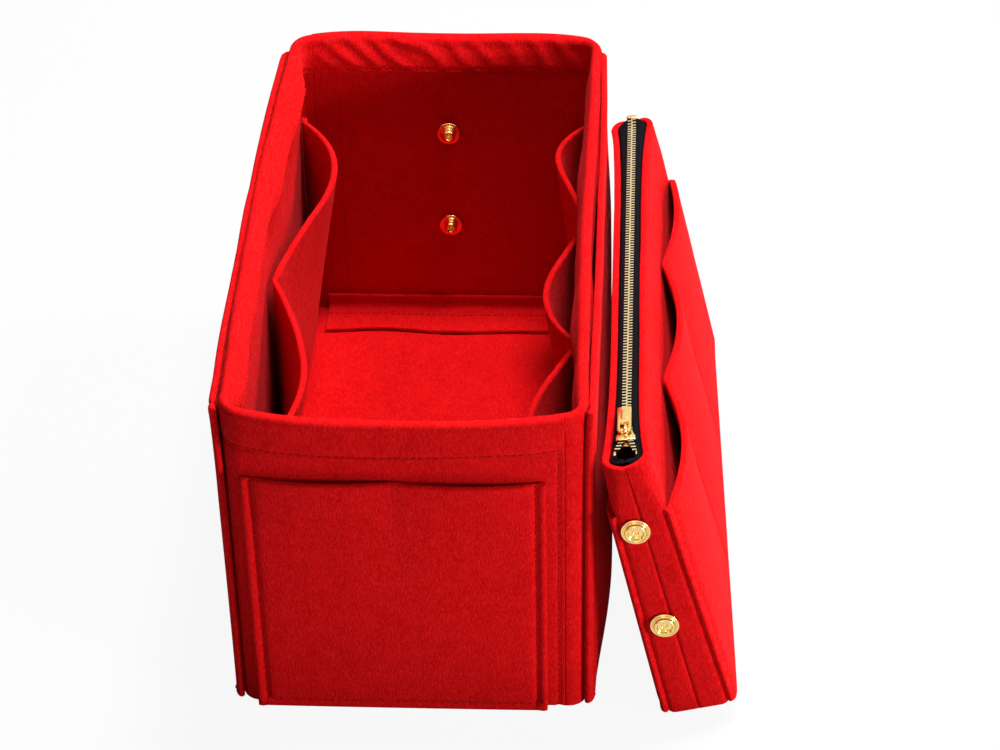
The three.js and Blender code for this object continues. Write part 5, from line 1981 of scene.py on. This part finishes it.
def build_floor(finish):
    """A wide floor, just below the pieces that stand on it."""
    mesh = bpy.data.meshes.new("studio_floor")
    corners = [(x, y, 0) for x, y in box_outline(0, 0, FLOOR_HALF, FLOOR_HALF)]
    mesh.from_pydata(corners, [], [(0, 1, 2, 3)])
    mesh.materials.append(floor_material(finish))
    floor = linked("studio_floor", mesh)
    floor.location.z = -FLOOR_DROP


def build_lamps():
    """Round lamps that look at the object, and that the camera doesn't see."""
    for name, spot, width, power in LAMPS:
        light = bpy.data.lights.new(name, "AREA")
        light.shape, light.size, light.energy = "DISK", width, power
        lamp = linked(name, light)
        lamp.location = spot
        lamp.visible_camera = False
        lamp.rotation_euler = (LAMP_AIM - Vector(spot)).to_track_quat("-Z", "Y").to_euler()


def backdrop(tree, strength):
    """White light of that strength from all round."""
    return result(tree, "ShaderNodeBackground", {"Color": WHITE, "Strength": strength})


def build_world(scene):
    """Soft light from above, brighter for what metal mirrors, behind a white backdrop."""
    world = bpy.data.worlds.new("studio_world")
    scene.world = world
    tree = bare_nodes(world)
    way = tree.nodes.new("ShaderNodeTexCoord").outputs["Generated"]
    upward = node(tree, "ShaderNodeSeparateXYZ", {0: way}).outputs["Z"]
    path = tree.nodes.new("ShaderNodeLightPath").outputs
    ambient = ramp(tree, upward, 0.0, 0.9, *AMBIENT)
    mirrored = times(tree, ramp(tree, upward, 0.05, 0.4, *MIRRORED), path["Is Glossy Ray"])
    light = backdrop(tree, math_of(tree, "MAXIMUM", ambient, mirrored))
    shown = {0: path["Is Camera Ray"], 1: light, 2: backdrop(tree, 1.0)}
    node(tree, "ShaderNodeOutputWorld", {"Surface": result(tree, "ShaderNodeMixShader", shown)})


def floor_material(finish):
    """A pale floor that the camera sees nearly white, and that keeps the object's shadow."""
    material = bpy.data.materials.new("pale_floor")
    tree = bare_nodes(material)
    matt = result(tree, "ShaderNodeBsdfDiffuse", {"Color": (*finish.floor, 1)})
    glow = result(tree, "ShaderNodeEmission", {"Color": WHITE, "Strength": 1.0})
    path = tree.nodes.new("ShaderNodeLightPath").outputs
    seen = math_of(tree, "MAXIMUM", path["Is Camera Ray"], path["Is Glossy Ray"])
    shown = {0: times(tree, seen, FLOOR_GLOW), 1: matt, 2: glow}
    node(tree, "ShaderNodeOutputMaterial", {"Surface": result(tree, "ShaderNodeMixShader", shown)})
    return material


def build_stage(finish):
    """The photograph's camera, floor and light."""
    scene = bpy.context.scene
    scene.view_settings.view_transform = "Standard"
    build_camera(scene)
    build_floor(finish)
    build_lamps()
    build_world(scene)


# Operators


def settings(context):
    """The four groups of sizes and colours."""
    scene = context.scene
    return scene.organizer_tub, scene.organizer_pouch, scene.organizer_sewing, scene.organizer_finish


class TubWalls(bpy.types.Operator):
    """Make the tub's bottom, walls and turned-in floor strips"""

    bl_idname = "organizer.tub_walls"
    bl_label = "Tub walls"

    def execute(self, context):
        tub, _, _, finish = settings(context)
        build_walls(tub, finish)
        build_floor_strips(tub, finish)
        return {"FINISHED"}


class TubRim(bpy.types.Operator):
    """Make the strips over the tub's rim"""

    bl_idname = "organizer.tub_rim"
    bl_label = "Tub rim"

    def execute(self, context):
        tub, _, _, finish = settings(context)
        build_rim(tub, finish)
        return {"FINISHED"}


class TubPockets(bpy.types.Operator):
    """Make the pockets on the tub's ends, outside and inside"""

    bl_idname = "organizer.tub_pockets"
    bl_label = "Tub pockets"

    def execute(self, context):
        tub, _, _, finish = settings(context)
        build_end_pockets(tub, finish)
        build_outer_pockets(tub, finish)
        build_inner_pockets(tub, finish)
        return {"FINISHED"}


class TubStuds(bpy.types.Operator):
    """Make the snap studs and their back caps"""

    bl_idname = "organizer.tub_studs"
    bl_label = "Snap studs"

    def execute(self, context):
        tub, _, _, finish = settings(context)
        build_studs(tub, finish)
        return {"FINISHED"}


class PouchFelt(bpy.types.Operator):
    """Make the pouch's shells, bottom and pockets"""

    bl_idname = "organizer.pouch_felt"
    bl_label = "Pouch felt"

    def execute(self, context):
        _, pouch, _, finish = settings(context)
        build_pouch_shells(pouch, finish)
        build_pouch_pockets(pouch, finish)
        return {"FINISHED"}


class PouchSockets(bpy.types.Operator):
    """Make the snap sockets and their back caps"""

    bl_idname = "organizer.pouch_sockets"
    bl_label = "Snap sockets"

    def execute(self, context):
        _, pouch, _, finish = settings(context)
        build_sockets(pouch, finish)
        return {"FINISHED"}


class PouchZip(bpy.types.Operator):
    """Make the zip: tapes, teeth, stops, slider and pull tab"""

    bl_idname = "organizer.pouch_zip"
    bl_label = "Zip"

    def execute(self, context):
        _, pouch, _, finish = settings(context)
        build_tapes(pouch, finish)
        build_teeth(pouch, finish)
        build_stops(pouch, finish)
        build_slider(pouch, finish)
        build_pull(finish)
        return {"FINISHED"}


class Stitches(bpy.types.Operator):
    """Sew the noted lines"""

    bl_idname = "organizer.stitches"
    bl_label = "Stitches"

    def execute(self, context):
        _, _, sewing, finish = settings(context)
        build_stitches(sewing, finish)
        return {"FINISHED"}


class Stage(bpy.types.Operator):
    """Set up the floor, the lamps and the camera"""

    bl_idname = "organizer.stage"
    bl_label = "Stage"

    def execute(self, context):
        build_stage(settings(context)[3])
        return {"FINISHED"}


STEPS = (Stage, TubWalls, TubRim, TubPockets, TubStuds, PouchFelt, PouchSockets, PouchZip, Stitches)
GROUPS = {
    "organizer_tub": OrganizerTub,
    "organizer_pouch": OrganizerPouch,
    "organizer_sewing": OrganizerSewing,
    "organizer_finish": OrganizerFinish,
}


class OrganizerPanel(bpy.types.Panel):
    """Lists the steps that make the organizer"""

    bl_idname = "VIEW3D_PT_organizer"
    bl_label = "Felt organizer"
    bl_space_type = "VIEW_3D"
    bl_region_type = "UI"
    bl_category = "Organizer"

    def draw(self, context):
        for step in STEPS:
            self.layout.operator(step.bl_idname)


def register():
    """Adds the classes and the property groups."""
    for cls in (*GROUPS.values(), *STEPS, OrganizerPanel):
        bpy.utils.register_class(cls)
    for name, group in GROUPS.items():
        setattr(bpy.types.Scene, name, PointerProperty(type=group))


def unregister():
    """Takes them out again."""
    for name in GROUPS:
        delattr(bpy.types.Scene, name)
    for cls in reversed((*GROUPS.values(), *STEPS, OrganizerPanel)):
        bpy.utils.unregister_class(cls)


def main():
    """Makes the organizer step by step."""
    register()
    bpy.ops.organizer.stage()
    bpy.ops.organizer.tub_walls()
    bpy.ops.organizer.tub_rim()
    bpy.ops.organizer.tub_pockets()
    bpy.ops.organizer.tub_studs()
    bpy.ops.organizer.pouch_felt()
    bpy.ops.organizer.pouch_sockets()
    bpy.ops.organizer.pouch_zip()
    bpy.ops.organizer.stitches()


if __name__ == "__main__":
    main()
